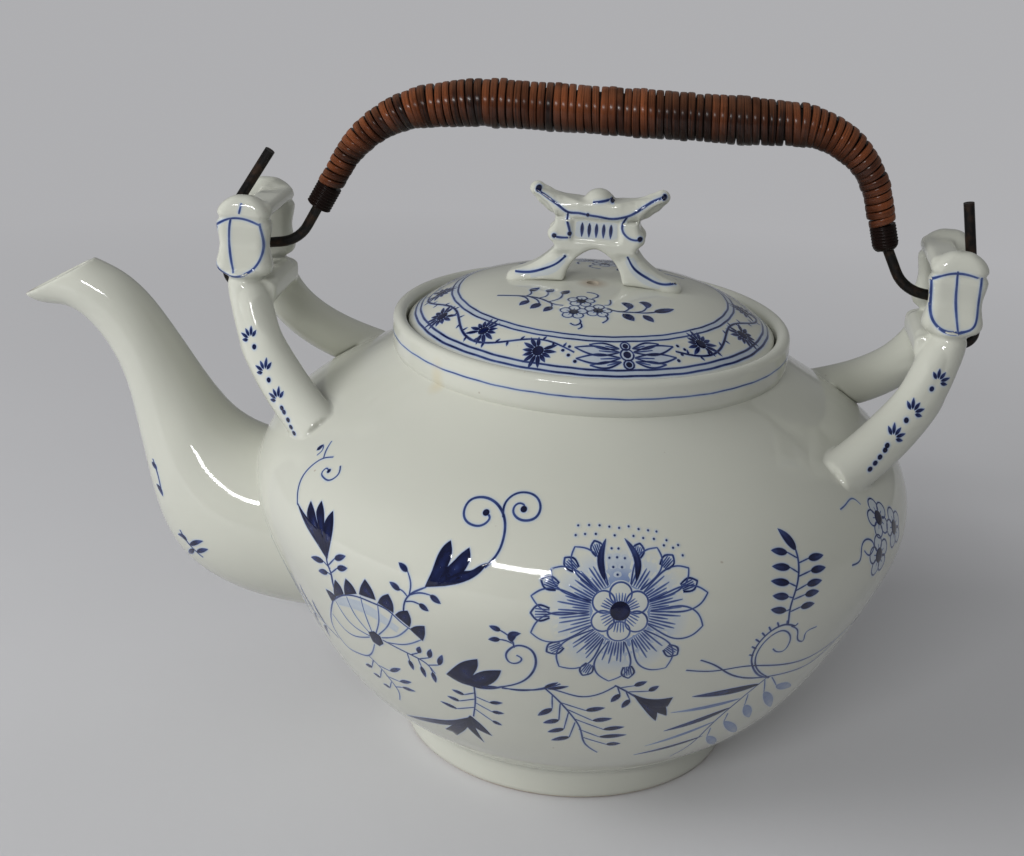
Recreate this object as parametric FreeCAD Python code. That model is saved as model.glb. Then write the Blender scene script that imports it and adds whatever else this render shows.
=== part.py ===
"""A porcelain teapot with a lift-out lid and a cane-wrapped wire bail.

The foot stands on z = 0 with the pot's axis on Z. The spout points to -X and the
decorated front faces -Y. All sizes are in millimetres.
"""
import FreeCAD, Part
import math
import os

Vec = FreeCAD.Vector
ORIGIN = Vec(0, 0, 0)
ALONG_X = Vec(1, 0, 0)
ALONG_Y = Vec(0, 1, 0)
UP = Vec(0, 0, 1)

# Fineness of curves and sections
OVAL_POINTS = 16
OUTLINE_STEPS = 200
CAVITY_STEPS = 14
CORNER_SHARE = 0.85

# Pot body
FOOT_RADIUS = 47.2
FOOT_HEIGHT = 9.0
FOOT_FLARE = 0.9
FOOT_RING_WIDTH = 5.2
FOOT_RECESS = 4.5
BELLY_RADIUS = 90.0
BELLY_HEIGHT = 78.0
SHOULDER_HEIGHT = 113.4
POT_WALL = 4.0
COLLAR_RADIUS = 53.6
COLLAR_WALL = 3.6
COLLAR_RISE = 9.4
SHOULDER_STEP = 0.6
# Shares of the way from foot to belly, and from belly to collar, as (across, up)
LOWER_FLANK = [(0.37, 0.19), (0.69, 0.48), (0.91, 0.77)]
UPPER_FLANK = [(0.12, 0.34), (0.35, 0.565), (0.78, 0.85)]

# Strainer pierced through the wall behind the spout
STRAINER_ROWS = 5
STRAINER_HOLE = 5.0
STRAINER_PITCH = 8.4
STRAINER_BELOW_BELLY = 24.0

# Lid and the gallery it sits in
GALLERY_DEPTH = 5.8
LEDGE_WIDTH = 6.0
LID_GAP = 0.6
LID_EDGE = 3.6
LID_RISE = 12.4
LID_WALL = 4.0
FLANGE_GAP = 0.8
FLANGE_WALL = 3.2
FLANGE_DEPTH = 9.0
STEAM_HOLE = 3.2
STEAM_HOLE_FORWARD = 3.6
# Lid crown as shares of its radius and rise
LID_CROWN = [(0.962, 0.12), (0.767, 0.58), (0.506, 0.87), (0.243, 0.968)]

# Finial, measured from the crown of the lid
FINIAL_DEPTH = 9.0
FINIAL_TOE_REACH = 23.4
FINIAL_TOE_HEIGHT = 1.0
FINIAL_SOLE = -4.0
FINIAL_ARCH_HALF = 7.4
FINIAL_ARCH_CROWN = 9.2
FINIAL_HIP_REACH = 10.6
FINIAL_HIP_HEIGHT = 9.2
FINIAL_PANEL_REACH = 12.3
FINIAL_PANEL_FOOT = 11.2
FINIAL_WAIST_REACH = 11.0
FINIAL_WAIST_HEIGHT = 16.5
FINIAL_HORN_REACH = 18.0
FINIAL_HORN_HEIGHT = 23.0
FINIAL_HORN_BLUNT = 1.4
FINIAL_ROOF_HEIGHT = 21.4
FINIAL_BEAD_RADIUS = 4.4
FINIAL_BEAD_HEIGHT = 20.4
# How far the finial's edges hollow in from straight runs, as (across, up)
FINIAL_LEG_HOLLOW = (-1.2, -1.0)
FINIAL_HORN_HOLLOW = (-0.9, 0.9)
FINIAL_ROOF_HOLLOW = (0.0, -0.6)
# Middle of the arch's side, as shares of the arch's half width and height
FINIAL_ARCH_SIDE = (0.72, 0.62)

# Spout: each section by its upper and lower point, as reach beyond the belly and
# height above the belly line, and its half width
SPOUT_WALL = 3.2
SPOUT_LIP_WALL = 2.0
SPOUT_SECTIONS = [
    ((-30.0, -1.0), (-30.0, -49.0), 25.0),
    ((-20.0, 0.0), (-20.0, -49.0), 25.0),
    ((-10.0, 0.6), (-9.0, -48.6), 24.6),
    ((-2.0, 1.4), (4.0, -46.5), 23.8),
    ((5.0, 3.4), (16.0, -42.0), 22.0),
    ((11.0, 7.2), (25.5, -34.5), 19.3),
    ((15.8, 12.5), (31.5, -23.5), 16.4),
    ((20.0, 18.5), (35.0, -11.0), 13.6),
    ((24.5, 25.3), (37.6, 1.0), 11.6),
    ((29.5, 32.5), (40.3, 13.0), 10.2),
    ((35.0, 39.5), (44.0, 22.0), 9.2),
    ((42.0, 45.4), (49.8, 30.0), 8.4),
    ((50.2, 49.2), (58.0, 35.0), 7.4),
    ((60.0, 50.6), (70.5, 37.6), 6.0),
]
SPOUT_LIP_TOP = (50.2, 49.0)
SPOUT_LIP_TIP = (70.2, 37.5)

# Lugs that carry the bail: two struts and a saddle on each side
LUG_OUTSET = 3.0
LUG_HEAD_OFFSET = 11.6
HEAD_FOOT_ABOVE_SHOULDER = 15.4
HEAD_TOP_ABOVE_SHOULDER = 37.8
# Head shape from foot to top: share of its height, half length and half depth
HEAD_SHAPE = [
    (0.0, 5.0, 2.0),
    (0.05, 6.9, 3.2),
    (0.2, 7.5, 3.6),
    (0.42, 7.2, 3.2),
    (0.64, 7.5, 3.5),
    (0.8, 7.3, 3.6),
    (0.93, 5.2, 2.9),
    (1.0, 2.4, 1.5),
]
BRIDGE_THICKNESS = 4.0
BRIDGE_BELOW_TOP = 1.8
BRIDGE_INNER = -7.4
BRIDGE_OUTER = 1.0
SILL_HEIGHT = 8.0
SILL_ABOVE_SHOULDER = 8.0
SILL_INNER = -8.6
SILL_OUTER = -1.4
SILL_HALF_LENGTH = 12.5
STRUT_TOP_RADIUS = 5.8
STRUT_ROOT_RADIUS = 6.6
STRUT_ROOT_BELOW_SHOULDER = 16.4
STRUT_ROOT_ANGLE = 28.0
STRUT_ROOT_SINK = 4.0
STRUT_TOP_SINK = 2.0
STRUT_STATIONS = 7
# Strut bend: two control points as offsets from the head's foot
STRUT_BEND = [(-1.8, 1.2, -13.0), (-9.3, 9.2, -23.5)]

# Bail wire, from the axis it rocks about
WIRE_RADIUS = 1.4
AXIS_ABOVE_SHOULDER = 19.6
HOOK_INNER = 0.6
HOOK_OUTER = 8.9
HOOK_DROP = 9.6
HOOK_RADIUS = 3.6
EYE_RISE = 2.2
EYE_BEND_RADIUS = 4.0
LEG_FOOT_INSET = 11.9
LEG_FOOT_RISE = 4.0
LEG_BEND_RADIUS = 10.0
TAIL_TOP_RISE = 28.2
TAIL_RIGHT_INSET = -1.6
TAIL_LEFT_KNEE_RISE = 12.2
TAIL_LEFT_KNEE_REACH = 6.0
TAIL_LEFT_INSET = 3.9
TAIL_KNEE_RADIUS = 6.0

# Grip: centre line and thickness
GRIP_RISE = 45.0
GRIP_LEFT_CORNER_INSET = 31.5
GRIP_LEFT_CORNER_RISE = 40.8
GRIP_LEFT_RADIUS = 33.0
GRIP_LEFT_SHOULDER_INSET = 60.0
GRIP_SHOULDER_RADIUS = 60.0
GRIP_RIGHT_CORNER_INSET = 26.1
GRIP_RIGHT_RADIUS = 24.0
GRIP_LEG_INSET = 18.1
GRIP_LEG_RISE = 16.5
GRIP_LEG_RADIUS = 30.0
BARE_WIRE = 6.0
BINDING_LENGTH = 6.5
BINDING_RADIUS = 3.5
BINDING_CAP = 2.4
BINDING_LIP = 0.6
GRIP_END_RADIUS = 3.5
GRIP_MID_RADIUS = 6.2
GRIP_TAPER = 56.0
CORE_STATIONS = 57
CORE_BORE_GAP = 0.05

# Cane wrapped round the grip in three strands
CANE_DIAMETER = 1.4
CANE_LIFT = 0.06
CANE_STRANDS = ["left", "middle", "right"]
CANE_TURNS = 24
CANE_SPACER_TURNS = 1.0
CANE_SAMPLES = 24
CANE_HEADING_STEP = 0.001

# Levels worked out from the sizes above
RIM_HEIGHT = SHOULDER_HEIGHT + COLLAR_RISE
GALLERY_RADIUS = COLLAR_RADIUS - COLLAR_WALL
LEDGE_HEIGHT = RIM_HEIGHT - GALLERY_DEPTH
MOUTH_RADIUS = GALLERY_RADIUS - LEDGE_WIDTH
FLOOR_HEIGHT = FOOT_RECESS + POT_WALL
LID_RADIUS = GALLERY_RADIUS - LID_GAP
LID_EDGE_HEIGHT = LEDGE_HEIGHT + LID_EDGE
LID_TOP = LID_EDGE_HEIGHT + LID_RISE
FLANGE_RADIUS = MOUTH_RADIUS - FLANGE_GAP
LUG_REACH = BELLY_RADIUS + LUG_OUTSET
HEAD_FOOT = SHOULDER_HEIGHT + HEAD_FOOT_ABOVE_SHOULDER
HEAD_TOP = SHOULDER_HEIGHT + HEAD_TOP_ABOVE_SHOULDER
AXIS_HEIGHT = SHOULDER_HEIGHT + AXIS_ABOVE_SHOULDER


def line(start, end):
    return Part.LineSegment(start, end).toShape()


def smooth_curve(points):
    curve = Part.BSplineCurve()
    curve.interpolate(points)
    return curve


def turned(edges):
    """Revolve a closed outline in the XZ plane about the pot's axis."""
    return Part.Face(Part.Wire(edges)).revolve(ORIGIN, UP, 360)


def oval(centre, across, along, half_across, half_along):
    """A closed oval section with its seam on the across axis."""
    points = []
    for step in range(OVAL_POINTS):
        angle = 2 * math.pi * step / OVAL_POINTS
        points.append(
            centre
            + across * (half_across * math.cos(angle))
            + along * (half_along * math.sin(angle))
        )
    curve = Part.BSplineCurve()
    curve.interpolate(points, True)
    return Part.Wire(curve.toShape())


def rounded_rectangle(centre, across, along, half_across, half_along):
    """A rectangle with corners rounded to nearly half of its shorter side."""
    radius = CORNER_SHARE * min(half_across, half_along)
    signs = [(1, 1), (-1, 1), (-1, -1), (1, -1)]
    edges = []
    ends = []
    for sign_a, sign_b in signs:
        hub = (
            centre
            + across * (sign_a * (half_across - radius))
            + along * (sign_b * (half_along - radius))
        )
        side_a = hub + across * (sign_a * radius)
        side_b = hub + along * (sign_b * radius)
        outward = (across * sign_a + along * sign_b).normalize()
        first, last = (side_a, side_b) if sign_a == sign_b else (side_b, side_a)
        edges.append(Part.Arc(first, hub + outward * radius, last).toShape())
        ends.append((first, last))
    loop = []
    for index, arc in enumerate(edges):
        loop.append(arc)
        loop.append(line(ends[index][1], ends[(index + 1) % 4][0]))
    return Part.Wire(loop)


def loft(sections, ruled=False):
    return Part.makeLoft(sections, True, ruled)


# Pot body

def pot_outline():
    """The outer curve from the top of the foot to the foot of the collar."""
    foot = Vec(FOOT_RADIUS + FOOT_FLARE, 0, FOOT_HEIGHT)
    belly = Vec(BELLY_RADIUS, 0, BELLY_HEIGHT)
    neck = Vec(COLLAR_RADIUS - SHOULDER_STEP, 0, SHOULDER_HEIGHT)
    points = [foot]
    for across, up in LOWER_FLANK:
        radius = foot.x + across * (belly.x - foot.x)
        points.append(Vec(radius, 0, foot.z + up * (belly.z - foot.z)))
    points.append(belly)
    for across, up in UPPER_FLANK:
        radius = belly.x + across * (neck.x - belly.x)
        points.append(Vec(radius, 0, belly.z + up * (neck.z - belly.z)))
    points.append(neck)
    return smooth_curve(points)


def outline_samples(curve, count):
    first, last = curve.FirstParameter, curve.LastParameter
    return [first + (last - first) * step / count for step in range(count + 1)]


def pot_radius(height):
    """The pot's outer radius at a height between foot and collar."""
    curve = pot_outline()
    points = [curve.value(parameter) for parameter in outline_samples(curve, OUTLINE_STEPS)]
    for low, high in zip(points, points[1:]):
        if low.z <= height <= high.z:
            share = (height - low.z) / (high.z - low.z)
            return low.x + share * (high.x - low.x)


def pot_solid():
    """The pot filled up to its rim, which the spout and the struts are cut to."""
    curve = pot_outline()
    bead = COLLAR_WALL / 2
    crown = RIM_HEIGHT - bead
    neck = curve.value(curve.LastParameter)
    foot = curve.value(curve.FirstParameter)
    corner = Vec(FOOT_RADIUS, 0, 0)
    collar_foot = Vec(COLLAR_RADIUS, 0, SHOULDER_HEIGHT)
    rim_outer = Vec(COLLAR_RADIUS, 0, crown)
    rim_top = Vec(COLLAR_RADIUS - bead, 0, RIM_HEIGHT)
    rim_inner = Vec(GALLERY_RADIUS, 0, crown)
    axis_top = Vec(0, 0, crown)
    return turned([
        line(ORIGIN, corner),
        line(corner, foot),
        curve.toShape(),
        line(neck, collar_foot),
        line(collar_foot, rim_outer),
        Part.Arc(rim_outer, rim_top, rim_inner).toShape(),
        line(rim_inner, axis_top),
        line(axis_top, ORIGIN),
    ])


def pot_cavity():
    """The space for tea, one wall inside the outer curve."""
    curve = pot_outline()
    points = []
    for parameter in outline_samples(curve, CAVITY_STEPS):
        slope = curve.tangent(parameter)[0]
        point = curve.value(parameter) + Vec(-slope.z, 0, slope.x) * POT_WALL
        if point.z > FLOOR_HEIGHT:
            points.append(point)
    floor_edge = Vec(points[0].x - POT_WALL, 0, FLOOR_HEIGHT)
    floor_centre = Vec(0, 0, FLOOR_HEIGHT)
    throat = Vec(MOUTH_RADIUS, 0, points[-1].z)
    mouth_edge = Vec(MOUTH_RADIUS, 0, LEDGE_HEIGHT)
    mouth_centre = Vec(0, 0, LEDGE_HEIGHT)
    return turned([
        line(floor_centre, floor_edge),
        line(floor_edge, points[0]),
        smooth_curve(points).toShape(),
        line(points[-1], throat),
        line(throat, mouth_edge),
        line(mouth_edge, mouth_centre),
        line(mouth_centre, floor_centre),
    ])


def strainer_holes():
    """Round holes through the wall, in a hexagon behind the spout."""
    height = BELLY_HEIGHT - STRAINER_BELOW_BELLY
    reach = pot_radius(height)
    depth = 4 * POT_WALL
    middle = STRAINER_ROWS // 2
    holes = []
    for row in range(-middle, middle + 1):
        count = STRAINER_ROWS - abs(row)
        for step in range(count):
            side = (step - (count - 1) / 2) * STRAINER_PITCH
            rise = row * STRAINER_PITCH * math.sqrt(3) / 2
            start = Vec(-reach - POT_WALL, side, height + rise)
            holes.append(Part.makeCylinder(STRAINER_HOLE / 2, depth, start, ALONG_X))
    return holes


def make_pot_shell():
    shell = pot_solid().cut(pot_cavity())
    gallery = Part.makeCylinder(GALLERY_RADIUS, 2 * GALLERY_DEPTH, Vec(0, 0, LEDGE_HEIGHT))
    recess = Part.makeCylinder(FOOT_RADIUS - FOOT_RING_WIDTH, FOOT_RECESS)
    return shell.cut([gallery, recess] + strainer_holes())


# Spout

def spout_point(reach_and_rise):
    reach, rise = reach_and_rise
    return Vec(-BELLY_RADIUS - reach, 0, BELLY_HEIGHT + rise)


def spout_body(root_inset, lip_inset):
    """The spout's outline, drawn in by an amount that runs evenly from root to lip."""
    last = len(SPOUT_SECTIONS) - 1
    sections = []
    for index, (upper, lower, half_width) in enumerate(SPOUT_SECTIONS):
        inset = root_inset + (lip_inset - root_inset) * index / last
        top = spout_point(upper)
        bottom = spout_point(lower)
        centre = (top + bottom) * 0.5
        rise = (top - bottom) * 0.5
        half_height = rise.Length
        rise.normalize()
        sections.append(oval(centre, rise, ALONG_Y, half_height - inset, half_width - inset))
    return loft(sections)


def spout_lip_cut():
    """Everything beyond the slanted plane of the mouth."""
    top = spout_point(SPOUT_LIP_TOP)
    tip = spout_point(SPOUT_LIP_TIP)
    slope = (tip - top).normalize()
    outward = slope.cross(ALONG_Y) * -1
    half = BELLY_RADIUS
    corners = []
    for along, across in ((-1, -1), (1, -1), (1, 1), (-1, 1), (-1, -1)):
        corners.append(top + slope * (along * half) + ALONG_Y * (across * half))
    return Part.Face(Part.makePolygon(corners)).extrude(outward * half)


def make_spout(pot):
    outside = spout_body(0, 0).cut(pot)
    return outside.cut(spout_body(SPOUT_WALL, SPOUT_LIP_WALL)).cut(spout_lip_cut())


# Lugs

def make_saddle(side):
    """Two heads, front and back, with a bridge over the eye and a sill under it."""
    lug = side * LUG_REACH
    height = HEAD_TOP - HEAD_FOOT
    pieces = []
    for face in (-1, 1):
        sections = []
        for share, half_length, half_depth in HEAD_SHAPE:
            centre = Vec(lug, face * LUG_HEAD_OFFSET, HEAD_FOOT + share * height)
            sections.append(rounded_rectangle(centre, ALONG_X, ALONG_Y, half_length, half_depth))
        pieces.append(loft(sections))
    bridge_mid = lug + side * (BRIDGE_INNER + BRIDGE_OUTER) / 2
    bridge_half = (BRIDGE_OUTER - BRIDGE_INNER) / 2
    bridge_height = HEAD_TOP - BRIDGE_BELOW_TOP - BRIDGE_THICKNESS / 2
    sill_mid = lug + side * (SILL_INNER + SILL_OUTER) / 2
    sill_half = (SILL_OUTER - SILL_INNER) / 2
    sill_height = SHOULDER_HEIGHT + SILL_ABOVE_SHOULDER + SILL_HEIGHT / 2
    bars = [
        (bridge_mid, bridge_height, bridge_half, BRIDGE_THICKNESS / 2, LUG_HEAD_OFFSET),
        (sill_mid, sill_height, sill_half, SILL_HEIGHT / 2, SILL_HALF_LENGTH),
    ]
    for middle, level, half_length, half_height, reach in bars:
        ends = []
        for offset in (-reach, reach):
            centre = Vec(middle, offset, level)
            ends.append(rounded_rectangle(centre, ALONG_X, UP, half_length, half_height))
        pieces.append(loft(ends))
    return pieces[0].fuse(pieces[1:]).removeSplitter()


def bezier(controls, share):
    """Point and direction on a cubic curve."""
    a, b, c, d = controls
    rest = 1 - share
    point = a * rest**3 + b * (3 * rest**2 * share) + c * (3 * rest * share**2) + d * share**3
    slope = (b - a) * rest**2 + (c - b) * (2 * rest * share) + (d - c) * share**2
    return point, slope.normalize()


def make_strut(side, face, pot, saddle):
    """A leg from the pot's shoulder, bending up into the foot of a head."""
    root_height = SHOULDER_HEIGHT - STRUT_ROOT_BELOW_SHOULDER
    root_radius = pot_radius(root_height) - STRUT_ROOT_SINK
    angle = math.radians(STRUT_ROOT_ANGLE)
    head = Vec(LUG_REACH, LUG_HEAD_OFFSET, HEAD_FOOT)
    root_level = root_height - STRUT_ROOT_SINK / 2
    root = Vec(root_radius * math.cos(angle), root_radius * math.sin(angle), root_level)
    controls = [head + UP * STRUT_TOP_SINK] + [head + Vec(*bend) for bend in STRUT_BEND] + [root]
    controls = [Vec(side * point.x, face * point.y, point.z) for point in controls]
    sections = []
    for step in range(STRUT_STATIONS):
        share = step / (STRUT_STATIONS - 1)
        point, slope = bezier(controls, share)
        across = slope.cross(ALONG_Y).normalize()
        along = slope.cross(across).normalize()
        radius = STRUT_TOP_RADIUS + share * (STRUT_ROOT_RADIUS - STRUT_TOP_RADIUS)
        sections.append(oval(point, across, along, radius, radius))
    return loft(sections).cut([pot, saddle])


# Lid

def lid_crown():
    points = [Vec(LID_RADIUS, 0, LID_EDGE_HEIGHT)]
    for across, up in LID_CROWN:
        points.append(Vec(LID_RADIUS * across, 0, LID_EDGE_HEIGHT + LID_RISE * up))
    points.append(Vec(0, 0, LID_TOP))
    return smooth_curve(points)


def lid_solid():
    curve = lid_crown()
    ledge_edge = Vec(LID_RADIUS, 0, LEDGE_HEIGHT)
    ledge_centre = Vec(0, 0, LEDGE_HEIGHT)
    rim = curve.value(curve.FirstParameter)
    crown = curve.value(curve.LastParameter)
    return turned([
        line(ledge_centre, ledge_edge),
        line(ledge_edge, rim),
        curve.toShape(),
        line(crown, ledge_centre),
    ])


def make_lid():
    foot = LEDGE_HEIGHT - FLANGE_DEPTH
    flange = Part.makeCylinder(FLANGE_RADIUS, FLANGE_DEPTH, Vec(0, 0, foot))
    inner = FLANGE_RADIUS - FLANGE_WALL
    bore = Part.makeCylinder(inner, FLANGE_DEPTH + LID_EDGE + LID_RISE, Vec(0, 0, foot))
    dome = lid_solid().translated(UP * -LID_WALL)
    below = Part.makeCylinder(inner, FLANGE_DEPTH, Vec(0, 0, foot))
    hollow = dome.fuse(below).common(bore)
    steam_foot = Vec(0, -STEAM_HOLE_FORWARD, LEDGE_HEIGHT)
    steam = Part.makeCylinder(STEAM_HOLE / 2, LID_EDGE + LID_RISE, steam_foot)
    return lid_solid().fuse(flange).cut([hollow, steam]).removeSplitter()


def make_finial():
    """Two spread legs, a panel with a waist, and an upswept roof with a bead."""
    def at(reach, rise):
        return Vec(reach, -FINIAL_DEPTH / 2, LID_TOP + rise)

    def hollowed(start, end, hollow):
        across, up = hollow
        return (start + end) * 0.5 + Vec(across, 0, up)

    crown = at(0, FINIAL_ARCH_CROWN)
    arch_foot = at(FINIAL_ARCH_HALF, FINIAL_SOLE)
    sole = at(FINIAL_TOE_REACH, FINIAL_SOLE)
    toe = at(FINIAL_TOE_REACH, FINIAL_TOE_HEIGHT)
    hip = at(FINIAL_HIP_REACH, FINIAL_HIP_HEIGHT)
    panel_foot = at(FINIAL_PANEL_REACH, FINIAL_PANEL_FOOT)
    waist = at(FINIAL_WAIST_REACH, FINIAL_WAIST_HEIGHT)
    horn = at(FINIAL_HORN_REACH, FINIAL_HORN_HEIGHT)
    horn_top = at(FINIAL_HORN_REACH - FINIAL_HORN_BLUNT, FINIAL_HORN_HEIGHT + FINIAL_HORN_BLUNT)
    ridge = at(0, FINIAL_ROOF_HEIGHT)
    side_share, rise_share = FINIAL_ARCH_SIDE
    arch_side = at(FINIAL_ARCH_HALF * side_share, FINIAL_ARCH_CROWN * rise_share)
    leg_back = hollowed(toe, hip, FINIAL_LEG_HOLLOW)
    horn_dip = hollowed(waist, horn, FINIAL_HORN_HOLLOW)
    roof_dip = hollowed(horn_top, ridge, FINIAL_ROOF_HOLLOW)
    edges = [
        Part.Arc(crown, arch_side, arch_foot).toShape(),
        line(arch_foot, sole),
        line(sole, toe),
        Part.Arc(toe, leg_back, hip).toShape(),
        line(hip, panel_foot),
        line(panel_foot, waist),
        Part.Arc(waist, horn_dip, horn).toShape(),
        line(horn, horn_top),
        Part.Arc(horn_top, roof_dip, ridge).toShape(),
        line(ridge, crown),
    ]
    half = Part.Face(Part.Wire(edges)).extrude(ALONG_Y * FINIAL_DEPTH)
    other = half.mirror(ORIGIN, ALONG_X)
    bead = Part.makeSphere(FINIAL_BEAD_RADIUS, Vec(0, 0, LID_TOP + FINIAL_BEAD_HEIGHT))
    return half.fuse([other, bead]).removeSplitter().cut(lid_solid())


# Bail

def rounded_route(points, radii):
    """Straight runs between the points, joined by arcs of the given radii."""
    edges = []
    start = points[0]
    for before, corner, after, radius in zip(points, points[1:], points[2:], radii):
        into = (corner - before).normalize()
        out = (after - corner).normalize()
        half_turn = into.getAngle(out) / 2
        reach = radius * math.tan(half_turn)
        arc_start = corner - into * reach
        arc_end = corner + out * reach
        inward = (out - into).normalize()
        middle = corner + inward * (radius / math.cos(half_turn) - radius)
        edges.append(line(start, arc_start))
        edges.append(Part.Arc(arc_start, middle, arc_end).toShape())
        start = arc_end
    edges.append(line(start, points[-1]))
    return edges


def bail_point(side, inset, rise):
    """A point in the bail's plane, in from the lug and up from the axis."""
    return Vec(side * (LUG_REACH - inset), 0, AXIS_HEIGHT + rise)


def hook_route(side):
    """Hook bottom and eye, from the tail's side to the leg's foot."""
    points = [
        bail_point(side, -HOOK_OUTER, -HOOK_DROP),
        bail_point(side, -HOOK_INNER, -HOOK_DROP),
        bail_point(side, -HOOK_INNER, EYE_RISE),
        bail_point(side, LEG_FOOT_INSET, LEG_FOOT_RISE),
    ]
    return points, [HOOK_RADIUS, HOOK_RADIUS, EYE_BEND_RADIUS, LEG_BEND_RADIUS]


def bail_route():
    """The whole wire from the left tail to the right tail."""
    left, left_radii = hook_route(-1)
    right, right_radii = hook_route(1)
    left_tail = [
        bail_point(-1, TAIL_LEFT_INSET, TAIL_TOP_RISE),
        bail_point(-1, -TAIL_LEFT_KNEE_REACH, TAIL_LEFT_KNEE_RISE),
    ]
    grip = [
        bail_point(-1, GRIP_LEFT_CORNER_INSET, GRIP_LEFT_CORNER_RISE),
        bail_point(-1, GRIP_LEFT_SHOULDER_INSET, GRIP_RISE),
        bail_point(1, GRIP_RIGHT_CORNER_INSET, GRIP_RISE),
        bail_point(1, GRIP_LEG_INSET, GRIP_LEG_RISE),
    ]
    grip_radii = [GRIP_LEFT_RADIUS, GRIP_SHOULDER_RADIUS, GRIP_RIGHT_RADIUS, GRIP_LEG_RADIUS]
    right_tail = [bail_point(1, TAIL_RIGHT_INSET, TAIL_TOP_RISE)]
    points = left_tail + left + grip + right[::-1] + right_tail
    radii = [TAIL_KNEE_RADIUS] + left_radii + grip_radii + right_radii[::-1]
    return rounded_route(points, radii)


def along_route(edges, distance):
    """Point and direction at a distance along joined edges."""
    for edge in edges:
        if distance <= edge.Length or edge is edges[-1]:
            parameter = edge.getParameterByLength(distance)
            return edge.valueAt(parameter), edge.tangentAt(parameter)
        distance -= edge.Length


def grip_span(edges):
    """Distances along the wire where the two end bindings start."""
    leg_foot_edges = 2 * len(hook_route(-1)[0]) + 2
    left = sum(edge.Length for edge in edges[:leg_foot_edges]) + BARE_WIRE
    after = 2 * len(hook_route(1)[0])
    right = sum(edge.Length for edge in edges[:-after]) - BARE_WIRE
    return left, right


def grip_radius(from_end):
    """Outer radius of the wrapped grip at a distance from its nearer end."""
    share = min(1.0, from_end / GRIP_TAPER)
    swell = math.sin(math.pi / 2 * share) ** 2
    return GRIP_END_RADIUS + (GRIP_MID_RADIUS - GRIP_END_RADIUS) * swell


def core_radius(from_end):
    return grip_radius(from_end) - CANE_DIAMETER - CANE_LIFT


def make_tube(edges, radius):
    start, slope = along_route(edges, 0)
    ring = Part.Wire(Part.makeCircle(radius, start, slope))
    return Part.Wire(edges).makePipeShell([ring], True, False)


def make_grip_core(edges, first, last):
    sections = []
    for step in range(CORE_STATIONS):
        distance = first + (last - first) * step / (CORE_STATIONS - 1)
        point, slope = along_route(edges, distance)
        radius = core_radius(min(distance - first, last - distance))
        sections.append(oval(point, ALONG_Y, slope.cross(ALONG_Y), radius, radius))
    return loft(sections, ruled=True).cut(make_tube(edges, WIRE_RADIUS + CORE_BORE_GAP))


def make_binding(edges, start, toward, rounded):
    """A short sleeve that ends on the core's end face, square or capped at its lower end."""
    top, slope = along_route(edges, start + toward * BINDING_LENGTH)
    axis = slope * toward
    point = top - axis * BINDING_LENGTH
    sleeve = Part.makeCylinder(BINDING_RADIUS, BINDING_LENGTH, point, axis)
    if rounded:
        cap = Part.makeCone(WIRE_RADIUS + BINDING_LIP, BINDING_RADIUS, BINDING_CAP, point, axis)
        length = BINDING_LENGTH - BINDING_CAP
        rest = Part.makeCylinder(BINDING_RADIUS, length, point + axis * BINDING_CAP, axis)
        sleeve = cap.fuse(rest).removeSplitter()
    return sleeve.cut(make_tube(edges, WIRE_RADIUS + CORE_BORE_GAP))


def cane_point(edges, span, start, pitch, turn):
    """A point of the strand's centre line, a number of turns from its start."""
    distance = start + pitch * turn
    point, slope = along_route(edges, distance)
    from_end = min(distance - span[0], span[1] - distance)
    radius = core_radius(from_end) + CANE_LIFT + CANE_DIAMETER / 2
    angle = 2 * math.pi * turn
    side = slope.cross(ALONG_Y)
    return point + ALONG_Y * (radius * math.cos(angle)) + side * (radius * math.sin(angle))


def tangent_arc(start, corner, end):
    """An arc that touches start-corner at its start and corner-end at its end."""
    middle = (start + end) * 0.5
    flatness = (middle - start).Length / (corner - start).Length
    return Part.Arc(start, middle + (corner - middle) * (flatness / (1 + flatness)), end).toShape()


def biarc(start, start_slope, end, end_slope):
    """Two arcs that join two points with the given directions."""
    gap = end - start
    both = start_slope + end_slope
    spread = 2 * (1 - start_slope.dot(end_slope))
    across = gap.dot(both)
    reach = (-across + math.sqrt(across**2 + spread * gap.dot(gap))) / spread
    first_corner = start + start_slope * reach
    last_corner = end - end_slope * reach
    joint = (first_corner + last_corner) * 0.5
    return [tangent_arc(start, first_corner, joint), tangent_arc(joint, last_corner, end)]


def make_cane(edges, span, start, pitch, name):
    """One strand of the wrapping, as quarter-turn biarcs along the swelling grip."""
    def place(turn):
        return cane_point(edges, span, start, pitch, turn)

    def heading(turn):
        return (place(turn + CANE_HEADING_STEP) - place(turn - CANE_HEADING_STEP)).normalize()

    arcs = []
    for quarter in range(4 * CANE_TURNS):
        here, there = quarter / 4, (quarter + 1) / 4
        arcs += biarc(place(here), heading(here), place(there), heading(there))
    samples = [place(step / CANE_SAMPLES) for step in range(CANE_TURNS * CANE_SAMPLES + 1)]
    near = CANE_SAMPLES // 2
    closest = min(
        (point - other).Length
        for index, point in enumerate(samples)
        for other in samples[index + near: index + 2 * CANE_SAMPLES]
    )
    print("cane_winding_%s: least gap between turns %.2f mm" % (name, closest - CANE_DIAMETER))
    ring = Part.Wire(Part.makeCircle(CANE_DIAMETER / 2, place(0), heading(0)))
    return Part.Wire(arcs).makePipeShell([ring], True, False)


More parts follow.
